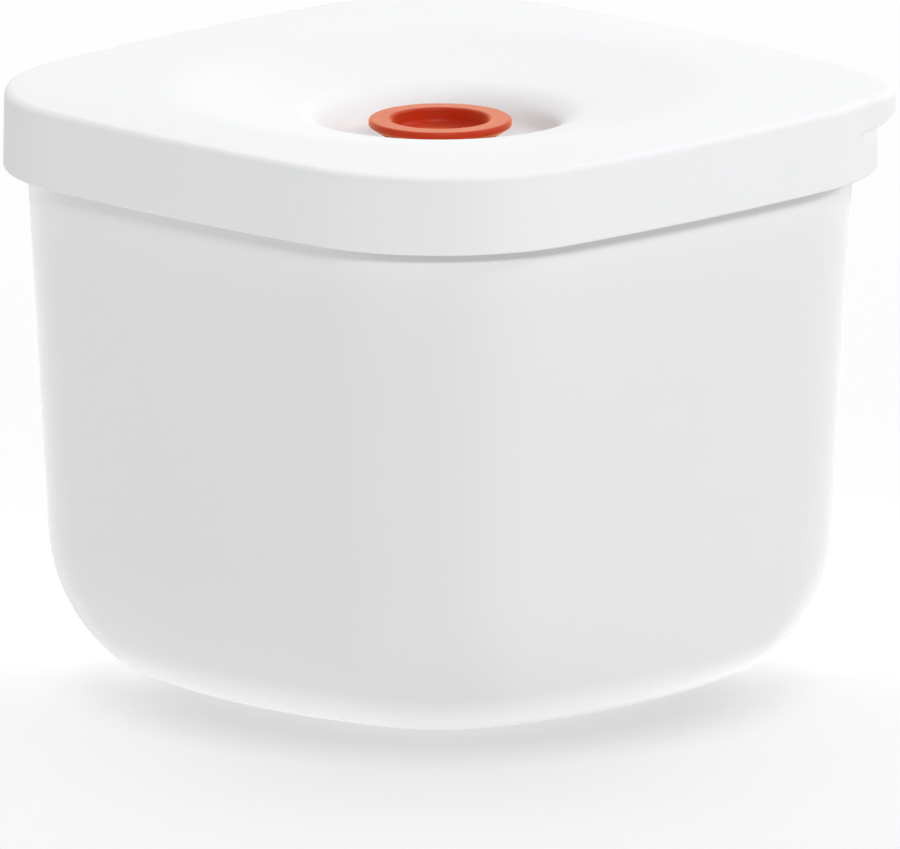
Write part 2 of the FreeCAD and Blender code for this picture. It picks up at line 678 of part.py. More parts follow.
def build_valve_clip():
    """The slotted washer that snaps into the stem's groove, with a rim that centres the spring."""
    body = new_body("valve_clip")
    bore = GROOVE_RADIUS + S["clip_fit"]
    inside = SPRING_RADIUS + S["spring_wire"] / 2 + S["clip_clearance"]
    outside = inside + S["clip_rim_width"]
    rim_top = CLIP_TOP + S["clip_rim_height"]
    corners = [
        (bore, CLIP_UNDERSIDE),
        (outside, CLIP_UNDERSIDE),
        (outside, rim_top),
        (inside, rim_top),
        (inside, CLIP_TOP),
        (bore, CLIP_TOP),
    ]
    turn_profile(body, "clip_form", corners)
    half_slot = GROOVE_RADIUS * CLIP_SLOT_SHARE / 2
    slot = new_sketch(body, "clip_slot_outline", level=CLIP_UNDERSIDE)
    below = half_slot - half_slot * 2
    beyond = outside + S["overrun"]
    draw_profile(slot, [(ZERO, below), (beyond, below), (beyond, half_slot), (ZERO, half_slot)])
    extrude(body, "clip_slot", slot, S["clip_height"] + S["clip_rim_height"], kind="Pocket")


def biarc(start, start_way, end, end_way):
    """Two arcs from start to end that leave and arrive along the given unit directions."""
    chord = end - start
    ways = start_way + end_way
    a = ways.dot(ways) - 4
    b = -2 * chord.dot(ways)
    c = chord.dot(chord)
    reach = (-b - math.sqrt(b * b - 4 * a * c)) / (2 * a)
    first_knee = start + start_way * reach
    last_knee = end - end_way * reach
    joint = (first_knee + last_knee) * 0.5
    edges = []
    for begin, knee, finish in ((start, first_knee, joint), (joint, last_knee, end)):
        middle = (begin + finish) * 0.5
        half = (finish - begin).Length / 2
        lift = knee - middle
        angle = math.atan2(lift.Length, half)
        crown = middle + lift.normalize() * (half * math.tan(angle / 2))
        edges.append(Part.Arc(begin, crown, finish).toShape())
    return edges


def build_valve_spring():
    """The wire spring round the guide, one unbroken wire between the well's underside and the clip."""
    wire = S["spring_wire"].value
    inset = wire / 2 + S["spring_gap"].value
    low = CLIP_TOP.value + inset
    rise = WELL_UNDERSIDE.value - inset - low
    radius = SPRING_RADIUS.value
    turns = SPRING_TURNS * 2 * math.pi

    def place(angle):
        return Vector(radius * math.cos(angle), radius * math.sin(angle), low + rise * angle / turns)

    def way(angle):
        return Vector(-radius * math.sin(angle), radius * math.cos(angle), rise / turns).normalize()

    quarter = math.pi / 2
    edges = []
    for i in range(SPRING_TURNS * QUARTERS_PER_TURN):
        begin, end = i * quarter, (i + 1) * quarter
        edges.extend(biarc(place(begin), way(begin), place(end), way(end)))
    path = Part.Wire(edges)
    ring = Part.Wire(Part.Circle(place(0), way(0), wire / 2).toShape())
    spring = doc.addObject("Part::Feature", "valve_spring")
    spring.Label = "valve_spring"
    spring.Shape = path.makePipeShell([ring], True, False)
    spring.Placement = Placement()
    angles = [turns * i / (SPRING_TURNS * 48) for i in range(SPRING_TURNS * 48 + 1)]
    gaps = [
        (place(one) - place(other)).Length - wire
        for one in angles
        for other in angles
        if other - one > math.pi
    ]
    print("spring, least gap to itself:", round(min(gaps), 3), "mm")


def write_parts():
    """Stops on any failed object or shape, then writes each piece to its own file."""
    for obj in doc.Objects:
        if "Invalid" in obj.State or "Error" in obj.State:
            raise RuntimeError(f"{obj.Label} failed: {obj.State}")
    pieces = [obj for obj in doc.Objects if obj.TypeId in ("PartDesign::Body", "Part::Feature")]
    for piece in pieces:
        if piece.Shape.isNull() or not piece.Shape.isValid():
            raise RuntimeError(f"{piece.Label} has no valid shape")
    os.makedirs("parts", exist_ok=True)
    for piece in pieces:
        shape = piece.Shape
        print(piece.Label, len(shape.Solids), round(shape.Volume, 1), shape.BoundBox)
        shape.exportStep(f"parts/{piece.Label}.step")


def main():
    build_tub()
    build_lid()
    build_lid_gasket()
    build_valve_button()
    build_valve_stem()
    build_valve_flap()
    build_valve_spring()
    build_valve_clip()
    doc.recompute()
    write_parts()


main()
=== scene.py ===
"""Vacuum seal canister: a milky tub, a white lid with a valve well, and a soft pull-up valve.

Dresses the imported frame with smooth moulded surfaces, finishes and a pale studio. Lengths are in metres.
"""

import math

import bmesh
import bpy
import numpy as np
from bpy.props import FloatProperty, FloatVectorProperty, IntProperty, PointerProperty
from bpy.types import NodeSocket, Operator, Panel, PropertyGroup
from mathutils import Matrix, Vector


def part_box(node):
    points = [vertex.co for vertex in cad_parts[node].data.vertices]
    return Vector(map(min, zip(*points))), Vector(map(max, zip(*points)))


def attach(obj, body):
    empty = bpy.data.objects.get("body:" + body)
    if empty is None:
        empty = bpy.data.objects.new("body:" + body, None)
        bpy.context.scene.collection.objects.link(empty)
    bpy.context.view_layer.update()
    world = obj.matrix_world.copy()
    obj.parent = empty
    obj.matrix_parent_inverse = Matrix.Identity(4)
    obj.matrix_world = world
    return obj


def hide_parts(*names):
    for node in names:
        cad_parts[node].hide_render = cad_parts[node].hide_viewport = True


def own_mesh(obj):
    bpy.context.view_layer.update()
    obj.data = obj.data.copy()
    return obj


bl_info = {
    "name": "Vacuum seal canister",
    "version": (1, 0, 0),
    "blender": (4, 5, 0),
    "location": "View3D > Sidebar > Canister",
    "description": "Builds the tub, lid, seal and valve of a vacuum seal canister, with finishes and studio",
    "category": "Object",
}

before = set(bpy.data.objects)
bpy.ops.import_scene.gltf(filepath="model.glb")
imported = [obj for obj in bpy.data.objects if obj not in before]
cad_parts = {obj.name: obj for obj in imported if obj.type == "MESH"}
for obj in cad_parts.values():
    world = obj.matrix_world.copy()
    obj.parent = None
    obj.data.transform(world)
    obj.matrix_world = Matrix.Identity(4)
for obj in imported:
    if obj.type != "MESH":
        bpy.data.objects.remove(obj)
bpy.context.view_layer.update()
LID_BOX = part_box("lid")
TUB_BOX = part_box("tub")
SEAL_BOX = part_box("lid_gasket")
BUTTON_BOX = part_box("valve_button")
FLAP_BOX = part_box("valve_flap")
SPRING_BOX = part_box("valve_spring")

MM = 0.001
FULL_TURN = 2 * math.pi
QUARTER_TURN = math.pi / 2
EIGHTH_TURN = math.pi / 4
WHITE = (1.0, 1.0, 1.0)
# Points closer than the first are one point of a mesh, and a cut leaves no face thinner than the second
WELD = 1e-7
SLIVER = 1e-6
# Edges that bend by more than this are shaded as sharp
SHARP_ANGLE = math.radians(50)
# Points on each rounded corner of a profile, and on the button's, which are seen closer
CORNER_POINTS = 6
BUTTON_CORNER_POINTS = 10
# Points round a vent, the spring's wire and the floor, and along one turn of the spring
VENT_COLUMNS = 32
WIRE_COLUMNS = 18
FLOOR_COLUMNS = 64
TURN_ROWS = 72
# Radii of the well's curves and of the lip's underside, as shares of their chords
WELL_LIP_SHARE = 0.952
WELL_BOWL_SHARE = 0.837
LIP_UNDER_SHARE = 1.1
# How far through the well's wall a rib starts, and its foot's rounding as a share of half its thickness
RIB_ROOT_SHARE = 0.95
RIB_FOOT_SHARE = 0.6
# Roundings of the seal's edges, from its inner foot round, as shares of the greatest
SEAL_ROUND_SHARES = (1, 0.5, 0.25, 0.25, 0.5, 1, 0.5, 0.5)
# The part of its range that a noise keeps to, and the middle of that
NOISE_LOW = 0.3
NOISE_HIGH = 0.7
NOISE_MIDDLE = 0.5
# Turn and stretch of the noise that gives hairline marks, and how near to its middle a mark is
MARK_TURN = (0.5, 0.3, 0.8)
MARK_STRETCH = (1.0, 14.0, 5.0)
MARK_NEARNESS = 0.004
# Soft lights: turn in degrees from the camera to its right, distance from the axis, height, width and depth
SOFT_LIGHTS = {
    "top": (180, 0.8, 2.0, 1.8, 1.8),
    "left": (-85, 1.8, 0.36, 0.9, 0.18),
    "front": (8, 1.8, 0.98, 0.9, 0.18),
    "right": (85, 1.8, 0.98, 0.9, 0.18),
    "back": (180, 1.8, 0.98, 0.9, 0.18),
    "over": (180, 0.5, 1.9, 0.9, 0.18),
    "left_rim": (-130, 1.8, 0.25, 0.9, 0.18),
    "right_rim": (130, 1.8, 0.25, 0.9, 0.18),
}


def length(name, description, default):
    """A length that a user may change, with its default in metres."""
    return FloatProperty(
        name=name, description=description, default=default, min=0.0, precision=5, unit="LENGTH"
    )


def share(name, description, default):
    """A part of a whole, from 0 to 1."""
    return FloatProperty(
        name=name, description=description, default=default, min=0.0, max=1.0, subtype="FACTOR"
    )


def colour(name, description, default):
    """A finish's colour, as linear red, green and blue."""
    return FloatVectorProperty(
        name=name, description=description, default=default, min=0.0, max=1.0, size=3, subtype="COLOR"
    )


def amount(name, description, default):
    """A plain number without a unit."""
    return FloatProperty(name=name, description=description, default=default, min=0.0)


def angle(name, description, degrees):
    """An angle, with its default in degrees."""
    return FloatProperty(
        name=name, description=description, default=math.radians(degrees), unit="ROTATION"
    )


def whole(name, description, default, least=1):
    """A whole number, and the least that it may be."""
    return IntProperty(name=name, description=description, default=default, min=least)


class PlanSizes(PropertyGroup):
    """The lid's outline in plan, which the seal, the rim and the wall follow."""

    half_side: length("Half side", "From the axis to the middle of a side, at the skirt's foot", 84.0 * MM)
    corner: length("Corner radius", "Radius of the corners", 43.7 * MM)
    bow: length("Bow radius", "Radius that the sides bow out to", 549.0 * MM)
    columns: whole("Columns", "Points round each ring", 320, least=32)
    crowding: share("Crowding", "How far the points crowd towards the corners", 0.45)


class TubSizes(PropertyGroup):
    """The tub: a leaning wall on a swept foot, with a bead round its rim."""

    rim_top: length("Rim", "Level of the rim's top", TUB_BOX[1].z)
    skirt_inset: length("Inset", "From the lid's outline to the wall, level with the skirt's edge", 5.5 * MM)
    lean: length("Lean", "How far the wall leans in from the skirt to the foot", 4.76 * MM)
    wall: length("Wall", "Thickness of the wall", 2.8 * MM)
    floor: length("Floor", "Thickness of the floor", 3.2 * MM)
    foot_height: length("Foot height", "Height of the sweep from wall to floor", 33.0 * MM)
    foot_reach: length("Foot reach", "How far the sweep runs in under the wall", 17.7 * MM)
    floor_corner: length("Floor corner", "Radius of the flat floor's corners", 25.2 * MM)
    floor_bow: length("Floor bow", "Radius that the flat floor's sides bow out to", 108.8 * MM)
    ring: length("Base ring", "Width of the ring that the tub stands on", 6.0 * MM)
    recess: length("Recess", "Depth of the recess inside that ring", 0.8 * MM)
    bead_inset: length("Bead inset", "From the lid's outline to the bead's outer face", 3.0 * MM)
    bead_height: length("Bead height", "Height of the bead", 3.0 * MM)
    bead_round: length("Bead rounding", "Radius of the bead's edges", 0.6 * MM)
    # Painted glow round the foot: the tub's colour is whitest up to the first level and plain from the second
    white_low: length("Whitest level", "Level up to which the foot's plastic is whitest", 3.0 * MM)
    white_high: length("Plain level", "Level from which the plastic has its plain colour", 11.0 * MM)


class LidSizes(PropertyGroup):
    """The lid: skirt, pull lip, dish, valve well, plug wall and ribs."""

    top: length("Top", "Level of the lid's top face", LID_BOX[1].z)
    skirt: length("Skirt", "Height of the outer wall", 18.0 * MM)
    lean: length("Lean", "How far the skirt leans in towards the top", 0.3 * MM)
    wall: length("Wall", "Thickness of the skirt", 2.4 * MM)
    roof: length("Roof", "Thickness of the top", 2.4 * MM)
    edge_round: length("Edge rounding", "Radius of the top edge", 1.9 * MM)
    foot_round: length("Foot rounding", "Radius of the skirt's lower edges", 0.5 * MM)
    lip_reach: length("Lip reach", "How far the pull lip stands out past the corner", 4.1 * MM)
    lip_nose: length("Lip nose", "Radius of the pull lip's nose in plan", 20.0 * MM)
    lip_blend: length("Lip blend", "Radius where the pull lip runs into the corner", 45.0 * MM)
    lip_root: length("Lip root", "Height of the pull lip where it meets the skirt", 7.2 * MM)
    lip_tip: length("Lip tip", "Height of the pull lip at its tip", 5.0 * MM)
    dish_width: length("Dish width", "Width of the dish round the valve well", 27.2 * MM)
    dish_depth: length("Dish depth", "Drop of the dish", 5.2 * MM)
    dish_soft: length("Dish softness", "Half the width over which the dish's edge is eased", 5.0 * MM)
    well_lip_width: length("Well lip width", "Width of the turn into the well", 7.4 * MM)
    well_lip_drop: length("Well lip drop", "Drop of that turn", 6.6 * MM)
    bowl_width: length("Bowl width", "Width of the curve from the well's wall to its floor", 4.8 * MM)
    bowl_drop: length("Bowl drop", "Drop of that curve", 3.6 * MM)
    floor_radius: length("Well floor", "Radius of the well's flat floor", 20.8 * MM)
    well_wall: length("Well wall", "Thickness under the dish and round the well", 2.3 * MM)
    guide: length("Guide", "Radius of the guide that the stem slides in", 4.3 * MM)
    guide_bore: length("Guide bore", "Radius of the bore in that guide", 2.56 * MM)
    guide_length: length("Guide length", "Length of the guide below the well", 2.4 * MM)
    vent: length("Vent", "Radius of the air vents", 1.5 * MM)
    vent_circle: length("Vent circle", "Radius of the circle that the vents lie on", 8.8 * MM)
    vent_count: whole("Vents", "Number of air vents", 6)
    plug_gap: length("Plug gap", "Gap between the plug wall and the tub's mouth", 0.8 * MM)
    plug_wall: length("Plug wall", "Thickness of the plug wall", 2.0 * MM)
    plug_drop: length("Plug drop", "Height of the plug wall below the roof", 7.0 * MM)
    rib: length("Rib", "Thickness of the ribs", 1.8 * MM)
    rib_drop: length("Rib drop", "Height of the ribs below the roof", 8.0 * MM)
    rib_pairs: whole("Ribs", "Number of ribs to the sides, and as many to the corners", 4)


class SealSizes(PropertyGroup):
    """The flat soft ring under the lid, with two sealing beads."""

    low: length("Foot", "Level that the seal's beads rest at", SEAL_BOX[0].z)
    high: length("Top", "Level of the seal's back", SEAL_BOX[1].z)
    clearance: length("Clearance", "Gap from the seal to the walls of its channel", 0.2 * MM)
    groove_width: length("Groove width", "Width of the relief groove between the beads", 1.8 * MM)
    groove_depth: length("Groove depth", "Depth of that groove", 0.7 * MM)
    rounding: length("Rounding", "Radius of the beads' outer edges", 0.5 * MM)


class ValveSizes(PropertyGroup):
    """The soft button and flap, and the wire spring."""

    top: length("Top", "Level of the button's rim", BUTTON_BOX[1].z)
    flap_top: length("Flap top", "Level where the button meets the flap", BUTTON_BOX[0].z)
    neck: length("Neck", "Radius of the button's neck", 9.6 * MM)
    neck_height: length("Neck height", "Height of the neck above the flap", 1.2 * MM)
    rim: length("Rim", "Radius of the button's rim", 16.2 * MM)
    rim_edge: length("Rim edge", "Thickness of the rim at its edge", 1.5 * MM)
    rim_round: length("Rim rounding", "Radius of the rim's upper edges", 0.7 * MM)
    cup: length("Cup", "Radius of the finger cup", 11.2 * MM)
    cup_depth: length("Cup depth", "Depth of the finger cup", 4.2 * MM)
    cup_sweep: length("Cup sweep", "Radius of the curve from the cup's wall to its floor", 1.8 * MM)
    head: length("Head pocket", "Radius of the pocket for the stem's head", 6.5 * MM)
    head_floor: length("Head floor", "Thickness under the stem's head", 0.9 * MM)
    head_height: length("Head height", "Height of that pocket", 1.1 * MM)
    core_bore: length("Core bore", "Radius of the hole for the stem", 2.6 * MM)
    flap: length("Flap", "Radius of the flap", FLAP_BOX[1].x)
    flap_low: length("Flap foot", "Level that the flap lies on", FLAP_BOX[0].z)
    flap_edge: length("Flap edge", "Thickness of the flap at its edge", 0.5 * MM)
    wire: length("Wire", "Thickness of the spring's wire", 0.7 * MM)
    coil: length("Coil", "Radius of the spring, at the middle of its wire", 5.4 * MM)
    turns: whole("Turns", "Turns of the spring", 4)
    seat_gap: length("Seat gap", "Gap between the spring's ends and their seats", 0.05 * MM)
    travel: length("Travel", "How far the valve is pulled up", 3.0 * MM)
    columns: whole("Columns", "Points round each ring", 160, least=32)


class FinishColours(PropertyGroup):
    """Colours of the finishes."""

    tub: colour("Tub", "Milky moulded plastic", (0.81, 0.81, 0.812))
    # Painted glow: the whiter colour that the tub's foot is painted with
    tub_foot: colour("Tub foot", "The milky plastic where it is thick, round the foot", (0.97, 0.97, 0.97))
    lid: colour("Lid", "Fine matte white plastic", (0.892, 0.897, 0.906))
    button: colour("Button", "Orange-red soft silicone", (0.52, 0.034, 0.006))
    button_sheen: colour("Button sheen", "Warm sheen of the soft silicone, seen along it", (1.0, 0.40, 0.14))
    silicone: colour("Seal", "Pale soft silicone of the seal and flap", (0.72, 0.73, 0.73))
    core: colour("Core", "Plain moulded plastic of the stem and clip", (0.78, 0.78, 0.77))
    wire: colour("Wire", "Drawn stainless wire", (0.60, 0.60, 0.62))
    floor: colour("Floor", "Studio floor, as the camera sees it", (0.98, 0.98, 0.98))
    floor_bounce: colour("Floor bounce", "Studio floor, in the light that it throws back", (0.78, 0.78, 0.78))


class StudioSettings(PropertyGroup):
    """Camera, light and floor."""

    azimuth: angle("Azimuth", "Camera's turn round the canister, from looking along Y", 44.85)
    elevation: angle("Elevation", "Camera's height above the horizon, as an angle", 12.18)
    distance: length("Distance", "From the camera to the point it looks at", 3.0)
    sight: length("Sight", "How far from the camera things still show", 30.0)
    view_width: length("View width", "Width of what the camera sees, at that point", 202.9 * MM)
    aim_right: length("Aim right", "How far right of the axis the camera looks", 2.2 * MM)
    aim_up: length("Aim up", "How far above the floor's middle the camera looks, up the picture", 55.3 * MM)
    dome: amount("Dome", "Strength of the even light from all round", 0.05)
    top_power: amount("Top light", "Power of the large soft light overhead, in watts", 24.4)
    left_power: amount("Left light", "Power of the soft light at the left, in watts", 5.6)
    front_power: amount("Front light", "Power of the soft light at the front, in watts", 18.4)
    right_power: amount("Right light", "Power of the soft light at the right, in watts", 11.4)
    back_power: amount("Back light", "Power of the soft light behind, in watts", 4.0)
    over_power: amount("Lid light", "Power of the slim soft light over the lid, in watts", 4.6)
    left_rim_power: amount("Left rim light", "Power of the low light behind the left, in watts", 4.0)
    right_rim_power: amount("Right rim light", "Power of the low light behind the right, in watts", 8.0)
    floor_radius: length("Floor radius", "Radius of the studio floor", 4.0)
    floor_gap: length("Floor gap", "How far below the tub's foot the floor lies", 0.1 * MM)
    floor_lift: share("Floor lift", "Share of plain white in the floor that the camera sees", 0.3)
    floor_white: amount("Floor white", "Strength of that plain white for the camera", 2.1)
    floor_glow: share("Floor glow", "Share of even light from below, as a light table gives", 0.67)
    shade_tone: share("Shade tone", "Share of the floor's colour that is left in the contact shade", 0.2)
    shade_core: length("Shade core", "Radius within which that shade is full", 54.0 * MM)
    shade_edge: length("Shade edge", "Radius at which that shade ends", 90.0 * MM)
    shade_forward: length("Shade forward", "How far the shade's middle lies towards the camera", 20.0 * MM)


def rays(count, crowding=0.0):
    """Angles round the axis: even steps u, moved by crowding / 4 * sin 4u so that they crowd at corners."""
    even = np.arange(count) * (FULL_TURN / count)
    return even + crowding / 4 * np.sin(4 * even)


def corner_middle(half, corner, bow):
    """Distance along X and Y to the centre of a corner's arc.

    It is (sqrt(2 (bow - corner)^2 - k^2) - k) / 2, where k = bow - half.
    """
    reach = bow - half
    return (np.sqrt(2 * (bow - corner) ** 2 - reach**2) - reach) / 2


def corner_arm(plan):
    """Distance from the axis to the centre of the lid's corner arc, along the diagonal."""
    return corner_middle(plan.half_side, plan.corner, plan.bow) * math.sqrt(2)


def soft_square(half, corner, bow, turn):
    """Distance from the axis to a soft square along rays at the angles turn.

    Each side is an arc of radius bow whose centre lies bow - half behind the axis, and each corner an arc
    tangent to two sides. A ray along d meets an arc of radius R about P at P.d + sqrt(R^2 - P^2 + (P.d)^2).
    """
    ray = np.abs((turn + EIGHTH_TURN) % QUARTER_TURN - EIGHTH_TURN)
    reach = bow - half
    middle = corner_middle(half, corner, bow)
    lean = np.arctan2(middle, middle + reach)
    meeting = np.arctan2(bow * np.sin(lean), bow * np.cos(lean) - reach)
    side = np.sqrt(bow**2 - (reach * np.sin(ray)) ** 2) - reach * np.cos(ray)
    along = middle * (np.cos(ray) + np.sin(ray))
    bend = np.sqrt(np.maximum(corner**2 - 2 * middle**2 + along**2, 0))
    return np.where(ray < meeting, side, along + bend)


def straight(start, end, count):
    """Even points from start up to end, end left out."""
    return np.linspace(start, end, count, endpoint=False)


def arc_about(start, end, chord_share, turn):
    """Centre and radius of an arc from start to end, bending left for turn 1 and right for -1.

    Its radius R is a share of its chord c, and its centre lies sqrt(R^2 - c^2 / 4) beside the chord's middle.
    """
    chord = end - start
    span = np.hypot(*chord)
    radius = span * chord_share
    beside = np.array([-chord[1], chord[0]]) / span * turn
    return (start + end) / 2 + beside * math.sqrt(radius**2 - span**2 / 4), radius


def swing(start, end, chord_share, turn, count):
    """Even points of such an arc from start up to end, end left out. It swings by 2 asin(c / 2R)."""
    start, end = np.asarray(start, float), np.asarray(end, float)
    centre, radius = arc_about(start, end, chord_share, turn)
    first = np.arctan2(*(start - centre)[::-1])
    sweep = 2 * math.asin(1 / (2 * chord_share)) * turn
    at = first + sweep * np.arange(count) / count
    return centre + radius * np.stack([np.cos(at), np.sin(at)], axis=1)


def unit(vectors):
    """Vectors of length 1 along the last axis, and of length 0 where they have none."""
    return vectors / np.maximum(np.linalg.norm(vectors, axis=-1, keepdims=True), WELD)


def rounded(corners, radii, steps=CORNER_POINTS):
    """A closed profile through corners, each turned by an arc of its own radius r.

    Where the sides at a corner meet at the angle a, the arc starts and ends r / tan(a / 2) along them, its
    centre is r / sin(a / 2) from the corner, and its points swing evenly from one end to the other.
    """
    corners = np.asarray(corners, float)
    radii = np.asarray(radii, float)[:, None]
    back = unit(np.roll(corners, 1, axis=0) - corners)
    ahead = unit(np.roll(corners, -1, axis=0) - corners)
    half = np.arccos(np.clip(np.sum(back * ahead, axis=1), -1, 1))[:, None] / 2
    centre = corners + unit(back + ahead) * radii / np.sin(half)
    first = corners + back * radii / np.tan(half) - centre
    last = corners + ahead * radii / np.tan(half) - centre
    sweep = np.maximum(math.pi - 2 * half, WELD)[..., None]
    step = np.linspace(0, 1, steps)[None, :, None]
    points = np.sin((1 - step) * sweep) * first[:, None] + np.sin(step * sweep) * last[:, None]
    return (centre[:, None] + points / np.sin(sweep)).reshape(-1, 2)


def rounded_run(corners, radii):
    """The open part of such a profile, without its first and last corners."""
    return rounded(corners, radii)[CORNER_POINTS:-CORNER_POINTS]


def turned(out, level, turn):
    """Points at a distance out from the axis and at a level, for each ray: (out cos t, out sin t, level)."""
    out, level, turn = np.broadcast_arrays(out, level, turn)
    return np.stack([out * np.cos(turn), out * np.sin(turn), level], axis=-1)


def spun(section, turn):
    """A section of (radius, level) turned round the axis."""
    return turned(section[:, :1], section[:, 1:], turn)


def stacked(turn, *runs):
    """Rows of points along the rays turn, from runs of distances out and levels that follow each other."""
    return np.vstack([turned(out, level, turn) for out, level in runs])


def faces_over(rows, columns, wrap_rows=False):
    """Quads over a grid of points that closes round its columns, and with wrap_rows round its rows too."""
    index = np.arange(rows * columns).reshape(rows, columns)
    if wrap_rows:
        index = np.vstack([index, index[:1]])
    index = np.hstack([index, index[:, :1]])
    quads = [index[:-1, :-1], index[:-1, 1:], index[1:, 1:], index[1:, :-1]]
    return np.stack(quads, axis=-1).reshape(-1, 4)


def repeated_faces(rows, columns, count):
    """The quads over count such grids that follow each other."""
    first = np.arange(count)[:, None, None] * (rows * columns)
    return (faces_over(rows, columns) + first).reshape(-1, 4)


def clean(mesh, thinnest):
    """Welds doubled points, drops faces thinner than thinnest, and shades all but sharp edges smooth."""
    edited = bmesh.new()
    edited.from_mesh(mesh)
    bmesh.ops.remove_doubles(edited, verts=edited.verts, dist=WELD)
    bmesh.ops.dissolve_degenerate(edited, edges=edited.edges, dist=thinnest)
    edited.to_mesh(mesh)
    edited.free()
    mesh.polygons.foreach_set("use_smooth", np.ones(len(mesh.polygons), bool))
    mesh.set_sharp_from_angle(angle=SHARP_ANGLE)
    mesh.update()


def make_piece(name, points, faces):
    """A mesh object of points and faces, with its poles and seams welded."""
    mesh = bpy.data.meshes.new(name)
    mesh.from_pydata(points.reshape(-1, 3).tolist(), [], faces.tolist())
    clean(mesh, WELD)
    piece = bpy.data.objects.new(name, mesh)
    bpy.context.scene.collection.objects.link(piece)
    return piece


def make_skin(name, points, wrap_rows=False):
    """A piece whose skin is one grid of points."""
    return make_piece(name, points, faces_over(*points.shape[:2], wrap_rows))


def cut_from(piece, cutter):
    """Takes a closed cutter out of a piece, for good, and removes the cutter."""
    cut = piece.modifiers.new("cut", "BOOLEAN")
    cut.operation = "DIFFERENCE"
    cut.solver = "EXACT"
    cut.object = cutter
    evaluated = piece.evaluated_get(bpy.context.evaluated_depsgraph_get())
    result = bpy.data.meshes.new_from_object(evaluated)
    piece.modifiers.clear()
    piece.data = result
    bpy.data.objects.remove(cutter)
    clean(result, SLIVER)


def give_finish(piece, material):
    """Puts one finish all over a piece."""
    piece.data.materials.clear()
    piece.data.materials.append(material)


def settle(piece, body, slot, material, *nodes):
    """Gives a piece its finish and the CAD body it moves with, and hides the CAD nodes it stands for. slot is
    not used.
    """
    give_finish(piece, material)
    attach(piece, body)
    if nodes:
        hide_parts(*nodes)


def wall_inset(tub, lid, level):
    """How far the tub's wall lies inside the lid's outline: its inset at the skirt, and its lean by level."""
    skirt_foot = lid.top - lid.skirt
    return tub.skirt_inset + tub.lean * (skirt_foot - level) / (skirt_foot - tub.foot_height)


def plug_inset(tub, lid):
    """How far the lid's plug wall lies inside the lid's outline."""
    return wall_inset(tub, lid, lid.top - lid.roof - lid.plug_drop) + tub.wall + lid.plug_gap


def offset(plan, inset):
    """The lid's outline moved in by a distance: half side, corner radius and bow radius, as columns."""
    inset = np.atleast_1d(inset)[:, None]
    return plan.half_side - inset, plan.corner - inset, plan.bow - inset


def outline(plan, inset, turn):
    """Distance from the axis to the lid's outline moved in by each inset, one row each."""
    return soft_square(*offset(plan, inset), turn)


def flat_floor(plan, tub, lid):
    """Half side, corner radius and bow radius of the tub's flat floor."""
    half = plan.half_side - wall_inset(tub, lid, tub.foot_height) - tub.foot_reach
    return half, tub.floor_corner, tub.floor_bow


def foot_rows(plan, tub, lid, wall, floor, lean_angles, turn):
    """Rows of the foot's sweep, by the angle down a quarter ellipse from the upright wall to the flat floor.

    At an angle t the level is floor + (foot height - floor)(1 - sin t), and the outline there is the wall's
    own, drawn in to the flat floor's by the share 1 - cos t. The bow radius is drawn in by its curvature.
    """
    drawn = (1 - np.cos(lean_angles))[:, None]
    level = floor + (tub.foot_height - floor) * (1 - np.sin(lean_angles))
    half, corner, bow = offset(plan, wall_inset(tub, lid, level) + wall)
    flat_half, flat_corner, flat_bow = flat_floor(plan, tub, lid)
    out = soft_square(
        half * (1 - drawn) + flat_half * drawn,
        corner * (1 - drawn) + flat_corner * drawn,
        bow * flat_bow / (flat_bow * (1 - drawn) + bow * drawn),
        turn,
    )
    return out, level[:, None]


def tub_points(plan, tub, lid, turn):
    """The tub as one closed skin: base recess, standing ring, foot, wall, bead, and the inside down again."""
    floor = np.array(flat_floor(plan, tub, lid))
    soft = tub.recess / 2
    step = rounded_run(
        [(tub.ring * 2, tub.recess), (tub.ring, tub.recess), (tub.ring, 0), (0, 0)],
        [0, soft, soft, 0],
    )
    under = soft_square(*(floor[:, None, None] - step[None, :, :1]), turn)
    spokes = straight(0, 1, count=8)[:, None]
    down = np.linspace(0, QUARTER_TURN, num=33)
    foot, foot_level = foot_rows(plan, tub, lid, 0, 0, down[::-1], turn)
    bead_foot = tub.rim_top - tub.bead_height
    wall_level = np.linspace(tub.foot_height, bead_foot, num=14)[1:]
    bead = rounded_run(
        [
            (wall_inset(tub, lid, bead_foot), bead_foot),
            (tub.bead_inset, bead_foot),
            (tub.bead_inset, tub.rim_top),
            (wall_inset(tub, lid, tub.rim_top) + tub.wall, tub.rim_top),
            (wall_inset(tub, lid, bead_foot) + tub.wall, bead_foot),
        ],
        [0, tub.bead_round, tub.bead_round, tub.bead_round, 0],
    )
    inside_level = wall_level[::-1]
    hollow, hollow_level = foot_rows(plan, tub, lid, tub.wall, tub.floor, down, turn)
    return stacked(
        turn,
        (under[:1] * spokes, tub.recess),
        (under, step[:, 1:]),
        (foot, foot_level),
        (outline(plan, wall_inset(tub, lid, wall_level), turn), wall_level[:, None]),
        (outline(plan, bead[:, 0], turn), bead[:, 1:]),
        (outline(plan, wall_inset(tub, lid, inside_level) + tub.wall, turn), inside_level[:, None]),
        (hollow, hollow_level),
        (hollow[-1:] * (1 - spokes[1:]), tub.floor),
        (hollow[-1:] * 0, tub.floor),
    )


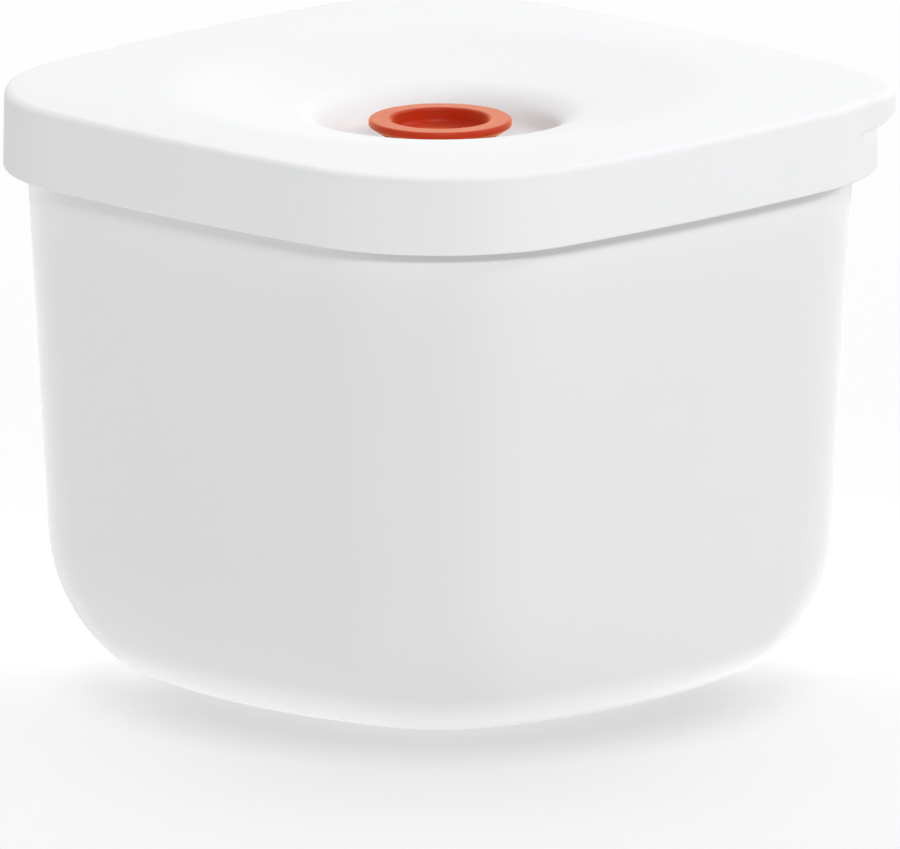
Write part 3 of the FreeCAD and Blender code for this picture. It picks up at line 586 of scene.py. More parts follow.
def lip_reach(plan, lid, inset, level, turn):
    """Distance from the axis to the pull lip, by the inset of its plan and the level, and 0 beside it.

    In plan the lip is a nose arc on the corner's diagonal, run into the corner's arc by a hollow arc on each
    side. Its underside is an arc turned about the corner's axis, from the tip down to the skirt.
    """
    inset, level = inset[:, None], level[:, None]
    arm = corner_arm(plan)
    nose_out = arm + plan.corner + lid.lip_reach - lid.lip_nose
    to_corner = plan.corner + lid.lip_blend
    to_nose = lid.lip_nose + lid.lip_blend
    gap = nose_out - arm
    blend_out = arm + (to_corner**2 - to_nose**2 + gap**2) / (2 * gap)
    blend_side = math.sqrt(to_corner**2 - (blend_out - arm) ** 2)
    away = np.abs((turn - EIGHTH_TURN + math.pi) % FULL_TURN - math.pi)
    ahead, aside = np.cos(away), np.sin(away)

    def meeting(centre, radius, reach):
        """Angle from the diagonal at which an arc about a point on it gives way to the hollow arc."""
        part = (radius - inset) / reach
        return np.arctan2(blend_side * part, centre + (blend_out - centre) * part)

    def far_side(centre, radius):
        """Where the rays leave an arc about a point on the diagonal."""
        return centre * ahead + np.sqrt(np.maximum(radius**2 - (centre * aside) ** 2, 0))

    along = blend_out * ahead + blend_side * aside
    hollow = (lid.lip_blend + inset) ** 2 - blend_out**2 - blend_side**2 + along**2
    blend = along - np.sqrt(np.maximum(hollow, 0))
    nose = far_side(nose_out, lid.lip_nose - inset)
    lip = np.where(away < meeting(nose_out, lid.lip_nose, to_nose), nose, blend)
    lip = np.where(away < meeting(arm, plan.corner, to_corner), lip, 0)
    below = lid.top - level
    tip = np.array([plan.corner + lid.lip_reach, -lid.lip_tip])
    root = np.array([plan.corner, -lid.lip_root])
    middle, radius = arc_about(tip, root, LIP_UNDER_SHARE, turn=-1)
    belly = middle[0] + np.sqrt(np.maximum(radius**2 - (below + middle[1]) ** 2, 0))
    belly = np.where(below < lid.lip_tip, plan.corner + lid.lip_reach * 2, belly)
    return np.where(below > lid.lip_root, 0, np.minimum(lip, far_side(arm, belly)))


def well_levels(lid):
    """Levels of the well's mouth, throat, floor and underside, and of the guide's foot."""
    mouth = lid.top - lid.dish_depth
    throat = mouth - lid.well_lip_drop
    floor = throat - lid.bowl_drop
    underside = floor - lid.well_wall
    return mouth, throat, floor, underside, underside - lid.guide_length


def well_radii(lid):
    """Radii of the well's throat and mouth, and of the dish."""
    throat = lid.floor_radius + lid.bowl_width
    mouth = throat + lid.well_lip_width
    return throat, mouth, mouth + lid.dish_width


def dish_top(lid):
    """The dish's eased edge, its cone, and the well's lip, bowl and floor, as (radius, level), outside in.

    Over the eased width 2s the slope grows evenly from 0 to the dish's own, so the drop is slope * x^2 / 4s.
    """
    mouth, throat, floor, _, _ = well_levels(lid)
    throat_radius, mouth_radius, dish_radius = well_radii(lid)
    slope = lid.dish_depth / lid.dish_width
    eased = np.linspace(0, 2 * lid.dish_soft, num=11)
    drop = slope * eased**2 / 4 / lid.dish_soft
    edge = np.stack([dish_radius + lid.dish_soft - eased, lid.top - drop], axis=1)
    inner = straight(edge[-1], (mouth_radius, mouth), count=5)[1:]
    lip = swing((mouth_radius, mouth), (throat_radius, throat), WELL_LIP_SHARE, turn=1, count=20)
    bowl = swing((throat_radius, throat), (lid.floor_radius, floor), WELL_BOWL_SHARE, turn=-1, count=14)
    flat = straight((lid.floor_radius, floor), (lid.guide, floor), count=4)
    return np.vstack([edge, inner, lip, bowl, flat])


def dish_underside(lid):
    """The skin under the well and the dish, as (radius, level) from the guide's root out to the roof."""
    mouth, throat, _, underside, _ = well_levels(lid)
    throat_radius, mouth_radius, dish_radius = well_radii(lid)
    turn_out = (throat_radius + lid.well_wall, throat)
    under_mouth = (mouth_radius, mouth - lid.well_wall)
    flat = straight((lid.guide, underside), (lid.floor_radius, underside), count=3)
    bowl = swing((lid.floor_radius, underside), turn_out, WELL_BOWL_SHARE, turn=1, count=12)
    lip = swing(turn_out, under_mouth, WELL_LIP_SHARE, turn=-1, count=12)
    cone = straight(under_mouth, (dish_radius, lid.top - lid.roof), count=4)
    return np.vstack([flat, bowl, lip, cone])


def skirt_rows(plan, lid, turn):
    """The skirt's outer face with the pull lip and the rounded top edge, and the flat top up to the dish."""
    foot = lid.top - lid.skirt
    marks = [foot + lid.foot_round, lid.top - lid.lip_root, lid.top - lid.lip_tip, lid.top - lid.edge_round]
    counts = [5, 16, 5]
    level = np.concatenate([straight(*run) for run in zip(marks, marks[1:], counts)])
    bend = np.linspace(0, QUARTER_TURN, num=12)
    level = np.concatenate([level, marks[-1] + lid.edge_round * np.sin(bend)])
    edge = np.concatenate([np.zeros(sum(counts)), lid.edge_round * (1 - np.cos(bend))])
    lean = lid.lean * (level - foot) / lid.skirt
    face = np.maximum(outline(plan, edge + lean, turn), lip_reach(plan, lid, edge, level, turn))
    inwards = np.linspace(0, 1, num=8)[1:-1, None]
    top = face[-1:] * (1 - inwards) + dish_top(lid)[0, 0] * inwards
    return (face, level[:, None]), (top, lid.top)


def lid_points(plan, tub, lid, turn):
    """The lid as one closed skin: skirt, top, dish, well, guide, undersides, plug wall and skirt's inside."""
    foot = lid.top - lid.skirt
    ceiling = lid.top - lid.roof
    _, _, floor, underside, guide_foot = well_levels(lid)
    soft = lid.foot_round / 2
    guide = rounded_run(
        [
            (lid.guide, floor),
            (lid.guide_bore, floor),
            (lid.guide_bore, guide_foot),
            (lid.guide, guide_foot),
            (lid.guide, underside),
        ],
        [0, soft, soft, soft, 0],
    )
    circles = np.vstack([dish_top(lid), guide, dish_underside(lid)])
    inner = plug_inset(tub, lid) + lid.plug_wall
    plug = rounded_run(
        [
            (inner + lid.plug_wall, ceiling),
            (inner, ceiling),
            (inner, ceiling - lid.plug_drop),
            (inner - lid.plug_wall, ceiling - lid.plug_drop),
            (inner - lid.plug_wall, ceiling),
            (lid.wall, ceiling),
            (lid.wall, foot),
            (0, foot),
            (0, lid.top),
        ],
        [0, soft, soft * 2, soft * 2, soft, lid.foot_round, soft, lid.foot_round, 0],
    )
    outwards = straight(0, 1, count=6)[:, None]
    _, _, rim = well_radii(lid)
    roof = rim * (1 - outwards) + outline(plan, plug[0, 0], turn) * outwards
    return stacked(
        turn,
        *skirt_rows(plan, lid, turn),
        (circles[:, :1], circles[:, 1:]),
        (roof, ceiling),
        (outline(plan, plug[:, 0], turn), plug[:, 1:]),
    )


def vent_cutter(lid):
    """Upright drums where the air vents go: rings about points on the vent circle, closed at both ends."""
    _, _, floor, underside, _ = well_levels(lid)
    reach = np.array([0, lid.vent, lid.vent, 0])[:, None]
    level = np.repeat([underside - lid.vent, floor + lid.vent], 2)[:, None]
    drum = turned(reach, level, rays(VENT_COLUMNS))
    centre = turned(lid.vent_circle, 0, rays(lid.vent_count))
    return drum + centre[:, None, None], repeated_faces(*drum.shape[:2], lid.vent_count)


def rib_points(plan, tub, lid):
    """The ribs under the roof, along the sides' middles and the diagonals.

    Each is a flat section carried along a spoke, and drawn in to its middle at both ends. Its foot is level,
    and its top runs inside the roof and the dish, half way between their upper and lower skins.
    """
    upper = dish_top(lid)[::-1]
    lower = dish_underside(lid)
    throat, _, dish = well_radii(lid)
    to_plug = plug_inset(tub, lid) + lid.plug_wall / 2
    reaches = np.tile([plan.half_side, corner_arm(plan) + plan.corner], lid.rib_pairs)[:, None] - to_plug
    start = throat + lid.well_wall * RIB_ROOT_SHARE
    run = np.linspace(0, 1, num=25) * (reaches - start) + start
    skins = np.interp(run, *upper.T) + np.interp(run, *lower.T)
    roof = np.where(run < dish, skins / 2, lid.top - lid.roof / 2)
    foot = lid.top - lid.roof - lid.rib_drop
    half = lid.rib / 2
    soft = half * RIB_FOOT_SHARE
    section = rounded([(-half, 0), (half, 0), (half, 1), (-half, 1)], [soft, soft, 0, 0])
    # The end rows stand twice, in full and drawn in
    twice = ((0, 0), (1, 1))
    run = np.pad(run, twice, mode="edge")[:, :, None]
    height = np.pad(np.maximum(roof - foot, half), twice, mode="edge")[:, :, None]
    full = np.ones(run.shape[1:])
    full[[0, -1]] = 0
    across = section[:, 0] * full
    up = np.where(section[:, 1] < lid.rib, section[:, 1], height)
    up = up * full + height / 2 * (1 - full)
    turn = rays(2 * lid.rib_pairs)[:, None, None]
    cos, sin = np.cos(turn), np.sin(turn)
    points = np.stack([run * cos - across * sin, run * sin + across * cos, foot + up], axis=-1)
    return points, repeated_faces(*points.shape[1:3], len(points))


def seal_points(plan, tub, lid, seal, turn):
    """The seal: a flat section with two beads below, carried round the outline."""
    outer = lid.wall + seal.clearance
    inner = plug_inset(tub, lid) - seal.clearance
    middle = (outer + inner) / 2
    groove = seal.groove_width / 2
    roof = seal.low + seal.groove_depth
    section = rounded(
        [
            (inner, seal.low),
            (middle + groove, seal.low),
            (middle + groove, roof),
            (middle - groove, roof),
            (middle - groove, seal.low),
            (outer, seal.low),
            (outer, seal.high),
            (inner, seal.high),
        ],
        np.multiply(SEAL_ROUND_SHARES, seal.rounding),
    )
    return turned(outline(plan, section[:, 0], turn), section[:, 1:], turn)


def button_points(valve, turn):
    """The button: a section with a broad rim, a finger cup and a pocket for the stem's head, turned round."""
    pocket_floor = valve.flap_top + valve.head_floor
    pocket_roof = pocket_floor + valve.head_height
    cup_floor = valve.top - valve.cup_depth
    soft = valve.rim_round
    section = rounded(
        [
            (0, pocket_roof),
            (valve.head, pocket_roof),
            (valve.head, pocket_floor),
            (valve.core_bore, pocket_floor),
            (valve.core_bore, valve.flap_top),
            (valve.neck, valve.flap_top),
            (valve.neck, valve.flap_top + valve.neck_height),
            (valve.rim, valve.top - valve.rim_edge),
            (valve.rim, valve.top),
            (valve.cup, valve.top),
            (valve.cup, cup_floor),
            (0, cup_floor),
        ],
        [0, soft / 4, soft / 4, soft / 8, 0, soft / 4, soft, soft / 2, soft, soft, valve.cup_sweep, 0],
        BUTTON_CORNER_POINTS,
    )
    return spun(section, turn)


def flap_points(valve, turn):
    """The flap: a flat section, thick at its middle and thin at its edge, turned round."""
    soft = valve.flap_edge / 3
    section = rounded(
        [
            (valve.core_bore, valve.flap_low),
            (valve.flap, valve.flap_low),
            (valve.flap, valve.flap_low + valve.flap_edge),
            (valve.neck, valve.flap_top),
            (valve.core_bore, valve.flap_top),
        ],
        [soft / 2, soft, soft, valve.flap_edge * 2, soft / 2],
    )
    return spun(section, turn)


def spring_points(valve, low, high):
    """The spring: a round section carried along the helix (r cos a, r sin a, p a), rising by p each radian.

    A half ball closes each end: by an angle c, its rings shrink by cos c and lie sin c of its radius ahead.
    """
    radius = valve.wire / 2
    last = FULL_TURN * valve.turns
    pitch = (high - low - valve.wire) / last
    cap = straight(-QUARTER_TURN, 0, count=5)
    sweep = np.linspace(0, last, num=TURN_ROWS * valve.turns)
    a = np.concatenate([0 * cap, sweep, 0 * cap + last])[:, None]
    c = np.concatenate([cap, 0 * sweep, -cap[::-1]])[:, None]
    outward = turned(1, 0, a[:, 0])
    way = unit(np.concatenate([-valve.coil * np.sin(a), valve.coil * np.cos(a), pitch + 0 * a], axis=1))
    middle = valve.coil * outward + way * np.sin(c) * radius
    middle[:, 2] += low + radius + pitch * a[:, 0]
    round_wire = rays(WIRE_COLUMNS)[None, :, None]
    ring = np.cos(round_wire) * outward[:, None] + np.sin(round_wire) * np.cross(way, outward)[:, None]
    return middle[:, None] + radius * np.cos(c)[:, None] * ring


def add_node(tree, kind, *ordered, **named):
    """A node of a tree: its settings by name in small letters, and its inputs in order or by name.

    An input takes a value, or the output of another node.
    """
    node = tree.nodes.new(kind)
    inputs = dict(enumerate(ordered))
    for name, given in named.items():
        if name.islower():
            setattr(node, name, given)
        else:
            inputs[name.replace("_", " ")] = given
    for key, given in inputs.items():
        if isinstance(given, NodeSocket):
            tree.links.new(given, node.inputs[key])
        else:
            node.inputs[key].default_value = given
    return node


def noise(tree, place, scale, detail, roughness):
    """A noise over a place, as a value."""
    node = add_node(
        tree, "ShaderNodeTexNoise", Vector=place, Scale=scale, Detail=detail, Roughness=roughness
    )
    return node.outputs["Fac"]


def spread(tree, value, low, high):
    """A noise's value, spread over the range from low to high."""
    node = add_node(
        tree,
        "ShaderNodeMapRange",
        Value=value,
        From_Min=NOISE_LOW,
        From_Max=NOISE_HIGH,
        To_Min=low,
        To_Max=high,
    )
    return node.outputs["Result"]


def smooth_rise(tree, value, start, end):
    """A smooth rise from 0 where a value is at start to 1 where it is at end."""
    node = add_node(
        tree,
        "ShaderNodeMapRange",
        interpolation_type="SMOOTHSTEP",
        Value=value,
        From_Min=start,
        From_Max=end,
    )
    return node.outputs["Result"]


def mixed(tree, factor, first, second):
    """The colour that a factor from 0 to 1 gives between two."""
    node = add_node(tree, "ShaderNodeMix", data_type="RGBA", Factor=factor, A=first, B=second)
    return node.outputs["Result"]


def opaque(tint, depth=1.0):
    """A colour with full cover, deepened by a factor."""
    return (*[channel * depth for channel in tint], 1.0)


def make_group(name, inputs, outputs):
    """A shader node group that reads a place: its tree, and its inputs' sockets by name.

    Each input comes with its default, a number or a colour, and each output with its kind.
    """
    tree = bpy.data.node_groups.new(name, "ShaderNodeTree")
    tree.interface.new_socket(name="Place", in_out="INPUT", socket_type="NodeSocketVector")
    for socket_name, default in inputs.items():
        kind = "NodeSocketFloat" if isinstance(default, float) else "NodeSocketColor"
        socket = tree.interface.new_socket(name=socket_name, in_out="INPUT", socket_type=kind)
        socket.default_value = default
    for socket_name, kind in outputs.items():
        tree.interface.new_socket(name=socket_name, in_out="OUTPUT", socket_type=kind)
    return tree, tree.nodes.new("NodeGroupInput").outputs


def moulded_grain_group():
    """The fine grain that a mould leaves: a height for a bump, and a roughness that drifts."""
    tree, given = make_group(
        "moulded_grain",
        {"Grain scale": 1800.0, "Drift scale": 30.0, "Least roughness": 0.3, "Most roughness": 0.4},
        {"Height": "NodeSocketFloat", "Roughness": "NodeSocketFloat"},
    )
    grain = noise(tree, given["Place"], given["Grain scale"], detail=3.0, roughness=0.6)
    drift = noise(tree, given["Place"], given["Drift scale"], detail=4.0, roughness=0.55)
    roughness = spread(tree, drift, given["Least roughness"], given["Most roughness"])
    add_node(tree, "NodeGroupOutput", Height=grain, Roughness=roughness)
    return tree


def resin_tint_group():
    """A faint cloudiness in the resin: drifts between a colour and a deeper one."""
    tree, given = make_group(
        "resin_tint",
        {"Scale": 20.0, "Colour": opaque(WHITE, 0.8), "Deep colour": opaque(WHITE, 0.75)},
        {"Colour": "NodeSocketColor"},
    )
    cloud = noise(tree, given["Place"], given["Scale"], detail=5.0, roughness=0.5)
    tint = mixed(tree, spread(tree, cloud, 0.0, 1.0), given["Deep colour"], given["Colour"])
    add_node(tree, "NodeGroupOutput", Colour=tint)
    return tree


def handling_marks_group():
    """Hairline marks from wiping and stacking: a rougher line where a stretched noise crosses its middle."""
    tree, given = make_group(
        "handling_marks",
        {"Roughness": 0.35, "Scale": 60.0, "Rise": 0.05},
        {"Roughness": "NodeSocketFloat"},
    )
    drawn = add_node(
        tree, "ShaderNodeMapping", Vector=given["Place"], Rotation=MARK_TURN, Scale=MARK_STRETCH
    )
    wave = noise(tree, drawn.outputs["Vector"], given["Scale"], detail=1.0, roughness=0.4)
    mark = add_node(tree, "ShaderNodeMath", wave, NOISE_MIDDLE, MARK_NEARNESS, operation="COMPARE")
    rougher = add_node(
        tree,
        "ShaderNodeMath",
        mark.outputs["Value"],
        given["Rise"],
        given["Roughness"],
        operation="MULTIPLY_ADD",
    )
    add_node(tree, "NodeGroupOutput", Roughness=rougher.outputs["Value"])
    return tree


def place_group(tree, make, **values):
    """A shared group, made the first time that it is asked for, in a tree with its own values."""
    group = bpy.data.node_groups.get(make.__name__.removesuffix("_group")) or make()
    return add_node(tree, "ShaderNodeGroup", node_tree=group, **values)


def emptied_tree(block):
    """The node tree of a material or a world, with no nodes in it."""
    block.use_nodes = True
    block.node_tree.nodes.clear()
    return block.node_tree


def object_place(tree):
    """The Object coordinates that a material's patterns read."""
    return tree.nodes.new("ShaderNodeTexCoord").outputs["Object"]


def show_shader(tree, **sockets):
    """A finish's Principled shader, shown on its surface."""
    shader = add_node(tree, "ShaderNodeBsdfPrincipled", **sockets)
    add_node(tree, "ShaderNodeOutputMaterial", Surface=shader.outputs["BSDF"])


def moulded_finish(name, tint, depth, roughness, grain_scale, grain_depth, marks, **sockets):
    """A moulded finish: cloudy resin, mould grain, drifting roughness and hairline marks.

    depth is the share of the tint that is left in its clouds, roughness its least and most, grain_scale the
    grain's fineness, grain_depth its height in metres, and marks the roughness that a mark adds.
    """
    material = bpy.data.materials.new(name)
    tree = emptied_tree(material)
    place = object_place(tree)
    resin = place_group(
        tree, resin_tint_group, Place=place, Colour=opaque(tint), Deep_colour=opaque(tint, depth)
    )
    grain = place_group(
        tree,
        moulded_grain_group,
        Place=place,
        Grain_scale=grain_scale,
        Least_roughness=roughness[0],
        Most_roughness=roughness[1],
    )
    wear = place_group(
        tree, handling_marks_group, Place=place, Roughness=grain.outputs["Roughness"], Rise=marks
    )
    bump = add_node(
        tree, "ShaderNodeBump", Strength=1.0, Distance=grain_depth, Height=grain.outputs["Height"]
    )
    show_shader(
        tree,
        Base_Color=resin.outputs["Colour"],
        Roughness=wear.outputs["Roughness"],
        Normal=bump.outputs["Normal"],
        **sockets,
    )
    return material


def whiten_foot(material, tint, low, high):
    """Paints a glow into a finish's colour: draws it to a whiter one by height, from none of it at high to
    all of it at low.
    """
    tree = material.node_tree
    base = next(node for node in tree.nodes if node.type == "BSDF_PRINCIPLED").inputs["Base Color"]
    height = add_node(tree, "ShaderNodeSeparateXYZ", Vector=object_place(tree))
    nearness = smooth_rise(tree, height.outputs["Z"], high, low)
    tree.links.new(mixed(tree, nearness, base.links[0].from_socket, opaque(tint)), base)


def wire_finish(name, tint):
    """Drawn wire: bright metal with fine marks."""
    material = bpy.data.materials.new(name)
    tree = emptied_tree(material)
    place = object_place(tree)
    metal = place_group(
        tree, resin_tint_group, Place=place, Scale=900.0, Colour=opaque(tint), Deep_colour=opaque(tint, 0.8)
    )
    wear = place_group(tree, handling_marks_group, Place=place, Roughness=0.28, Scale=700.0, Rise=0.2)
    show_shader(
        tree, Metallic=1.0, Base_Color=metal.outputs["Colour"], Roughness=wear.outputs["Roughness"]
    )
    return material


class CANISTER_OT_tub(Operator):
    """Moulds the milky tub"""

    bl_idname = "canister.tub"
    bl_label = "Tub"

    def execute(self, context):
        scene = context.scene
        plan, tub, lid = scene.canister_plan, scene.canister_tub, scene.canister_lid
        turn = rays(plan.columns, plan.crowding)
        piece = make_skin("tub_shell", tub_points(plan, tub, lid, turn))
        finish = moulded_finish(
            "tub_milky_plastic",
            scene.canister_colours.tub,
            depth=0.985,
            roughness=(0.2, 0.24),
            grain_scale=1500.0,
            grain_depth=2e-6,
            marks=0.03,
            IOR=1.55,
            Coat_Weight=1.0,
            Coat_IOR=1.8,
            Coat_Roughness=0.12,
            Sheen_Weight=0.8,
            Sheen_Roughness=0.3,
        )
        # Painted glow: the tub's colour is drawn whiter round its foot
        whiten_foot(finish, scene.canister_colours.tub_foot, tub.white_low, tub.white_high)
        settle(piece, "tub", "tub", finish, "tub")
        return {"FINISHED"}


class CANISTER_OT_lid(Operator):
    """Moulds the lid with its pull lip, dish, valve well, vents and ribs"""

    bl_idname = "canister.lid"
    bl_label = "Lid"

    def execute(self, context):
        scene = context.scene
        plan, tub, lid = scene.canister_plan, scene.canister_tub, scene.canister_lid
        turn = rays(plan.columns, plan.crowding)
        shell = make_skin("lid_shell", lid_points(plan, tub, lid, turn), wrap_rows=True)
        cut_from(shell, make_piece("vent_cutter", *vent_cutter(lid)))
        ribs = make_piece("lid_ribs", *rib_points(plan, tub, lid))
        finish = moulded_finish(
            "lid_satin_plastic",
            scene.canister_colours.lid,
            depth=0.985,
            roughness=(0.78, 0.85),
            grain_scale=1700.0,
            grain_depth=4e-6,
            marks=0.04,
            IOR=1.5,
            Specular_IOR_Level=0.2,
        )
        settle(shell, "lid", "lid", finish, "lid")
        settle(ribs, "lid", "lid", finish)
        return {"FINISHED"}


class CANISTER_OT_seal(Operator):
    """Moulds the soft ring seal under the lid"""

    bl_idname = "canister.seal"
    bl_label = "Ring seal"

    def execute(self, context):
        scene = context.scene
        plan = scene.canister_plan
        turn = rays(plan.columns, plan.crowding)
        points = seal_points(plan, scene.canister_tub, scene.canister_lid, scene.canister_seal, turn)
        piece = make_skin("seal_ring", points, wrap_rows=True)
        finish = moulded_finish(
            "seal_silicone",
            scene.canister_colours.silicone,
            depth=0.96,
            roughness=(0.5, 0.6),
            grain_scale=2200.0,
            grain_depth=6e-6,
            marks=0.03,
        )
        settle(piece, "lid", "gasket", finish, "lid_gasket")
        return {"FINISHED"}


class CANISTER_OT_valve(Operator):
    """Moulds the soft button and flap of the valve, and finishes its stem and clip"""

    bl_idname = "canister.valve"
    bl_label = "Valve"

    def execute(self, context):
        scene = context.scene
        valve, colours = scene.canister_valve, scene.canister_colours
        turn = rays(valve.columns)
        button = make_skin("button_soft", button_points(valve, turn))
        red = moulded_finish(
            "button_silicone",
            colours.button,
            depth=0.94,
            roughness=(0.36, 0.44),
            grain_scale=2600.0,
            grain_depth=5e-6,
            marks=0.04,
            IOR=1.43,
            Specular_IOR_Level=0.22,
            Sheen_Weight=1.0,
            Sheen_Roughness=0.4,
            Sheen_Tint=opaque(colours.button_sheen),
        )
        settle(button, "valve", "button", red, "valve_button")
        flap = make_skin("flap_soft", flap_points(valve, turn), wrap_rows=True)
        pale = moulded_finish(
            "flap_silicone",
            colours.silicone,
            depth=0.96,
            roughness=(0.45, 0.55),
            grain_scale=2200.0,
            grain_depth=5e-6,
            marks=0.03,
        )
        settle(flap, "valve", "flap", pale, "valve_flap")
        core = moulded_finish(
            "core_plastic",
            colours.core,
            depth=0.97,
            roughness=(0.42, 0.5),
            grain_scale=2000.0,
            grain_depth=5e-6,
            marks=0.05,
        )
        for node in ("valve_stem", "valve_clip"):
            give_finish(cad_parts[node], core)
        return {"FINISHED"}


class CANISTER_OT_spring(Operator):
    """Winds the wire spring under the well"""

    bl_idname = "canister.spring"
    bl_label = "Spring"

    def execute(self, context):
        valve = context.scene.canister_valve
        low, high = SPRING_BOX[0].z, SPRING_BOX[1].z
        piece = make_skin("spring_wire", spring_points(valve, low, high))
        finish = wire_finish("spring_steel", context.scene.canister_colours.wire)
        settle(piece, "lid", "spring", finish, "valve_spring")
        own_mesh(piece)
        return {"FINISHED"}


def put_in_studio(name, data, place, facing):
    """A lamp or the camera, at a place and facing along a direction."""
    item = bpy.data.objects.new(name, data)
    item.location = place
    item.rotation_mode = "QUATERNION"
    item.rotation_quaternion = facing.to_track_quat("-Z", "Y")
    bpy.context.scene.collection.objects.link(item)
    return item


def soft_light(name, power, sides, place, aim):
    """A soft light of a width and a depth at a place, turned to a point, that the camera doesn't see."""
    light = bpy.data.lights.new(name, "AREA")
    light.energy = power
    light.shape = "RECTANGLE"
    light.size, light.size_y = sides
    lamp = put_in_studio(name, light, place, aim - place)
    lamp.visible_camera = False
    return lamp


def ray_share(tree, **shares):
    """The share that is given for the kind of ray that looks, such as Is_Camera_Ray, and 0 for the rest."""
    path = tree.nodes.new("ShaderNodeLightPath")
    total = 0.0
    for ray, seen_share in shares.items():
        looks = path.outputs[ray.replace("_", " ")]
        added = add_node(
            tree, "ShaderNodeMath", looks, seen_share, total, operation="MULTIPLY_ADD", use_clamp=True
        )
        total = added.outputs["Value"]
    return total


def light_world(strength):
    """Even light from all round, which shows as plain white behind the canister."""
    world = bpy.data.worlds.new("studio_dome")
    world.cycles.sampling_method = "NONE"
    tree = emptied_tree(world)
    even = add_node(tree, "ShaderNodeBackground", Color=opaque(WHITE), Strength=strength)
    white = add_node(tree, "ShaderNodeBackground", Color=opaque(WHITE), Strength=1.0)
    white_share = ray_share(tree, Is_Camera_Ray=1.0, Is_Glossy_Ray=1.0, Is_Transmission_Ray=1.0)
    mix = add_node(
        tree, "ShaderNodeMixShader", white_share, even.outputs["Background"], white.outputs["Background"]
    )
    add_node(tree, "ShaderNodeOutputWorld", Surface=mix.outputs["Shader"])
    bpy.context.scene.world = world


def foot_shade(tree, studio, tint, middle):
    """The floor's colour, darker round the foot, by the distance from the middle of the shade."""
    apart = add_node(tree, "ShaderNodeVectorMath", object_place(tree), middle, operation="DISTANCE")
    openness = smooth_rise(tree, apart.outputs["Value"], studio.shade_core, studio.shade_edge)
    return mixed(tree, openness, opaque(tint, studio.shade_tone), opaque(tint))


def floor_finish(studio, colours, shade_middle):
    """A matt floor that keeps shadows.

    It is white, with a share of plain white, where it is looked at, and dimmer in the light it throws back.
    """
    material = bpy.data.materials.new("studio_floor")
    material.cycles.emission_sampling = "NONE"
    tree = emptied_tree(material)
    seen = tree.nodes.new("ShaderNodeLightPath").outputs["Is Camera Ray"]
    shaded = foot_shade(tree, studio, colours.floor, shade_middle)
    matt = add_node(
        tree, "ShaderNodeBsdfDiffuse", Color=mixed(tree, seen, opaque(colours.floor_bounce), shaded)
    )
    strength = add_node(tree, "ShaderNodeMapRange", Value=seen, To_Min=1.0, To_Max=studio.floor_white)
    glow = add_node(tree, "ShaderNodeEmission", Strength=strength.outputs["Result"])
    white_share = ray_share(
        tree,
        Is_Camera_Ray=studio.floor_lift,
        Is_Diffuse_Ray=studio.floor_glow,
        Is_Glossy_Ray=1.0,
        Is_Transmission_Ray=1.0,
    )
    mix = add_node(
        tree, "ShaderNodeMixShader", white_share, matt.outputs["BSDF"], glow.outputs["Emission"]
    )
    add_node(tree, "ShaderNodeOutputMaterial", Surface=mix.outputs["Shader"])
    return material


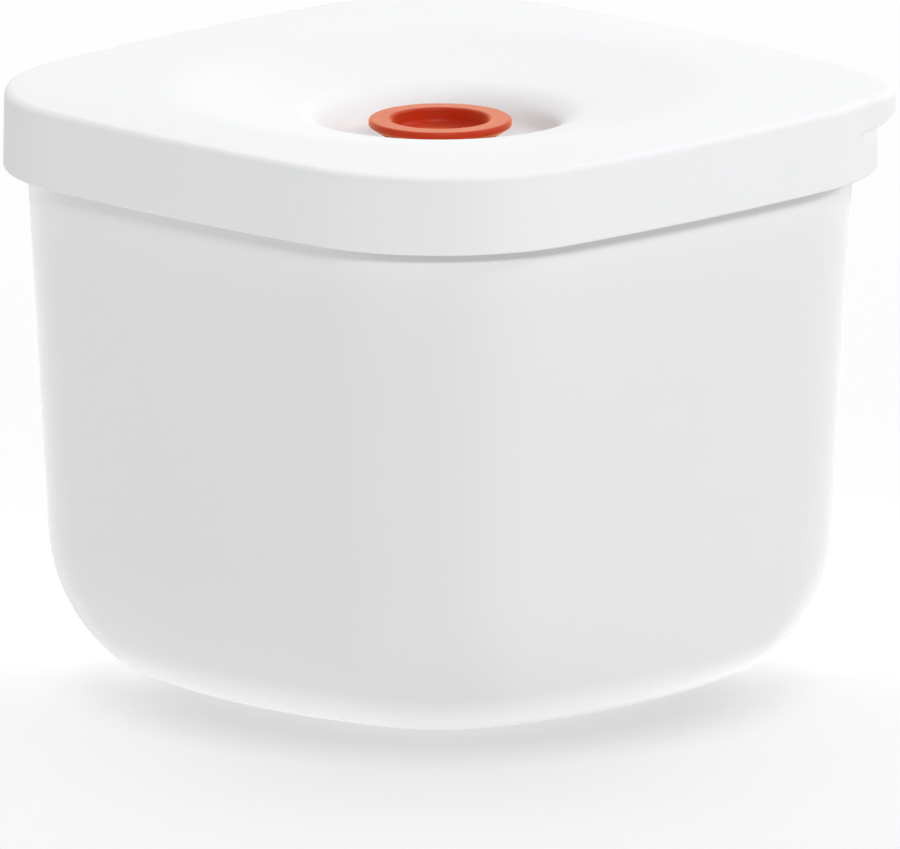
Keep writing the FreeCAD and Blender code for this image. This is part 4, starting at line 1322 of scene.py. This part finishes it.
class CANISTER_OT_stage(Operator):
    """Sets the pale floor, the soft lights and the camera"""

    bl_idname = "canister.stage"
    bl_label = "Stage"

    def execute(self, context):
        scene = context.scene
        studio = scene.canister_studio
        right = Vector((math.cos(studio.azimuth), math.sin(studio.azimuth), 0))
        away = Vector((-math.sin(studio.azimuth), math.cos(studio.azimuth), 0))
        level = Vector((0, 0, 1))
        rings = np.array([0, studio.floor_radius])[:, None]
        points = turned(rings, -studio.floor_gap, rays(FLOOR_COLUMNS))
        floor = make_piece("studio_floor", points, faces_over(*points.shape[:2])[:, ::-1])
        give_finish(floor, floor_finish(studio, scene.canister_colours, away * -studio.shade_forward))
        up = level * math.cos(studio.elevation) + away * math.sin(studio.elevation)
        ahead = away * math.cos(studio.elevation) - level * math.sin(studio.elevation)
        aim = right * studio.aim_right + up * studio.aim_up
        lens = bpy.data.cameras.new("studio_camera")
        lens.type = "ORTHO"
        lens.ortho_scale = studio.view_width
        lens.clip_end = studio.sight
        scene.camera = put_in_studio("studio_camera", lens, aim - ahead * studio.distance, ahead)
        # The large top light alone falls on the floor
        off_floor = bpy.data.collections.new("all_but_floor")
        off_floor.objects.link(floor)
        off_floor.collection_objects[0].light_linking.link_state = "EXCLUDE"
        middle = level * (LID_BOX[1].z / 2)
        for name, (degrees, out, height, width, depth) in SOFT_LIGHTS.items():
            turn = math.radians(degrees)
            place = (right * math.sin(turn) - away * math.cos(turn)) * out + level * height
            power = getattr(studio, f"{name}_power")
            lamp = soft_light(f"{name}_softbox", power, (width, depth), place, middle)
            if name != "top":
                lamp.light_linking.receiver_collection = off_floor
        light_world(studio.dome)
        scene.view_settings.view_transform = "Standard"
        return {"FINISHED"}


class CANISTER_PT_panel(Panel):
    """Lists the canister's pieces and sizes"""

    bl_label = "Vacuum seal canister"
    bl_idname = "CANISTER_PT_panel"
    bl_space_type = "VIEW_3D"
    bl_region_type = "UI"
    bl_category = "Canister"

    def draw(self, context):
        for operator in OPERATORS:
            self.layout.operator(operator.bl_idname)
        for name in GROUPS:
            settings = getattr(context.scene, name)
            box = self.layout.box()
            box.label(text=settings.bl_rna.name)
            for key in settings.bl_rna.properties.keys():
                if key not in ("rna_type", "name"):
                    box.prop(settings, key)


OPERATORS = (
    CANISTER_OT_tub,
    CANISTER_OT_lid,
    CANISTER_OT_seal,
    CANISTER_OT_valve,
    CANISTER_OT_spring,
    CANISTER_OT_stage,
)
GROUPS = {
    "canister_plan": PlanSizes,
    "canister_tub": TubSizes,
    "canister_lid": LidSizes,
    "canister_seal": SealSizes,
    "canister_valve": ValveSizes,
    "canister_colours": FinishColours,
    "canister_studio": StudioSettings,
}


def register():
    """Registers the classes, and puts a group of settings of each kind on the scene."""
    for group in (*GROUPS.values(), *OPERATORS, CANISTER_PT_panel):
        bpy.utils.register_class(group)
    for name, group in GROUPS.items():
        setattr(bpy.types.Scene, name, PointerProperty(type=group))


def unregister():
    """Takes the settings off the scene, and unregisters the classes."""
    for name in GROUPS:
        delattr(bpy.types.Scene, name)
    for group in (CANISTER_PT_panel, *reversed(OPERATORS), *reversed(GROUPS.values())):
        bpy.utils.unregister_class(group)


def main():
    """Builds every piece in order."""
    register()
    bpy.ops.canister.tub()
    bpy.ops.canister.lid()
    bpy.ops.canister.seal()
    bpy.ops.canister.valve()
    bpy.ops.canister.spring()
    bpy.ops.canister.stage()


if __name__ == "__main__":
    main()
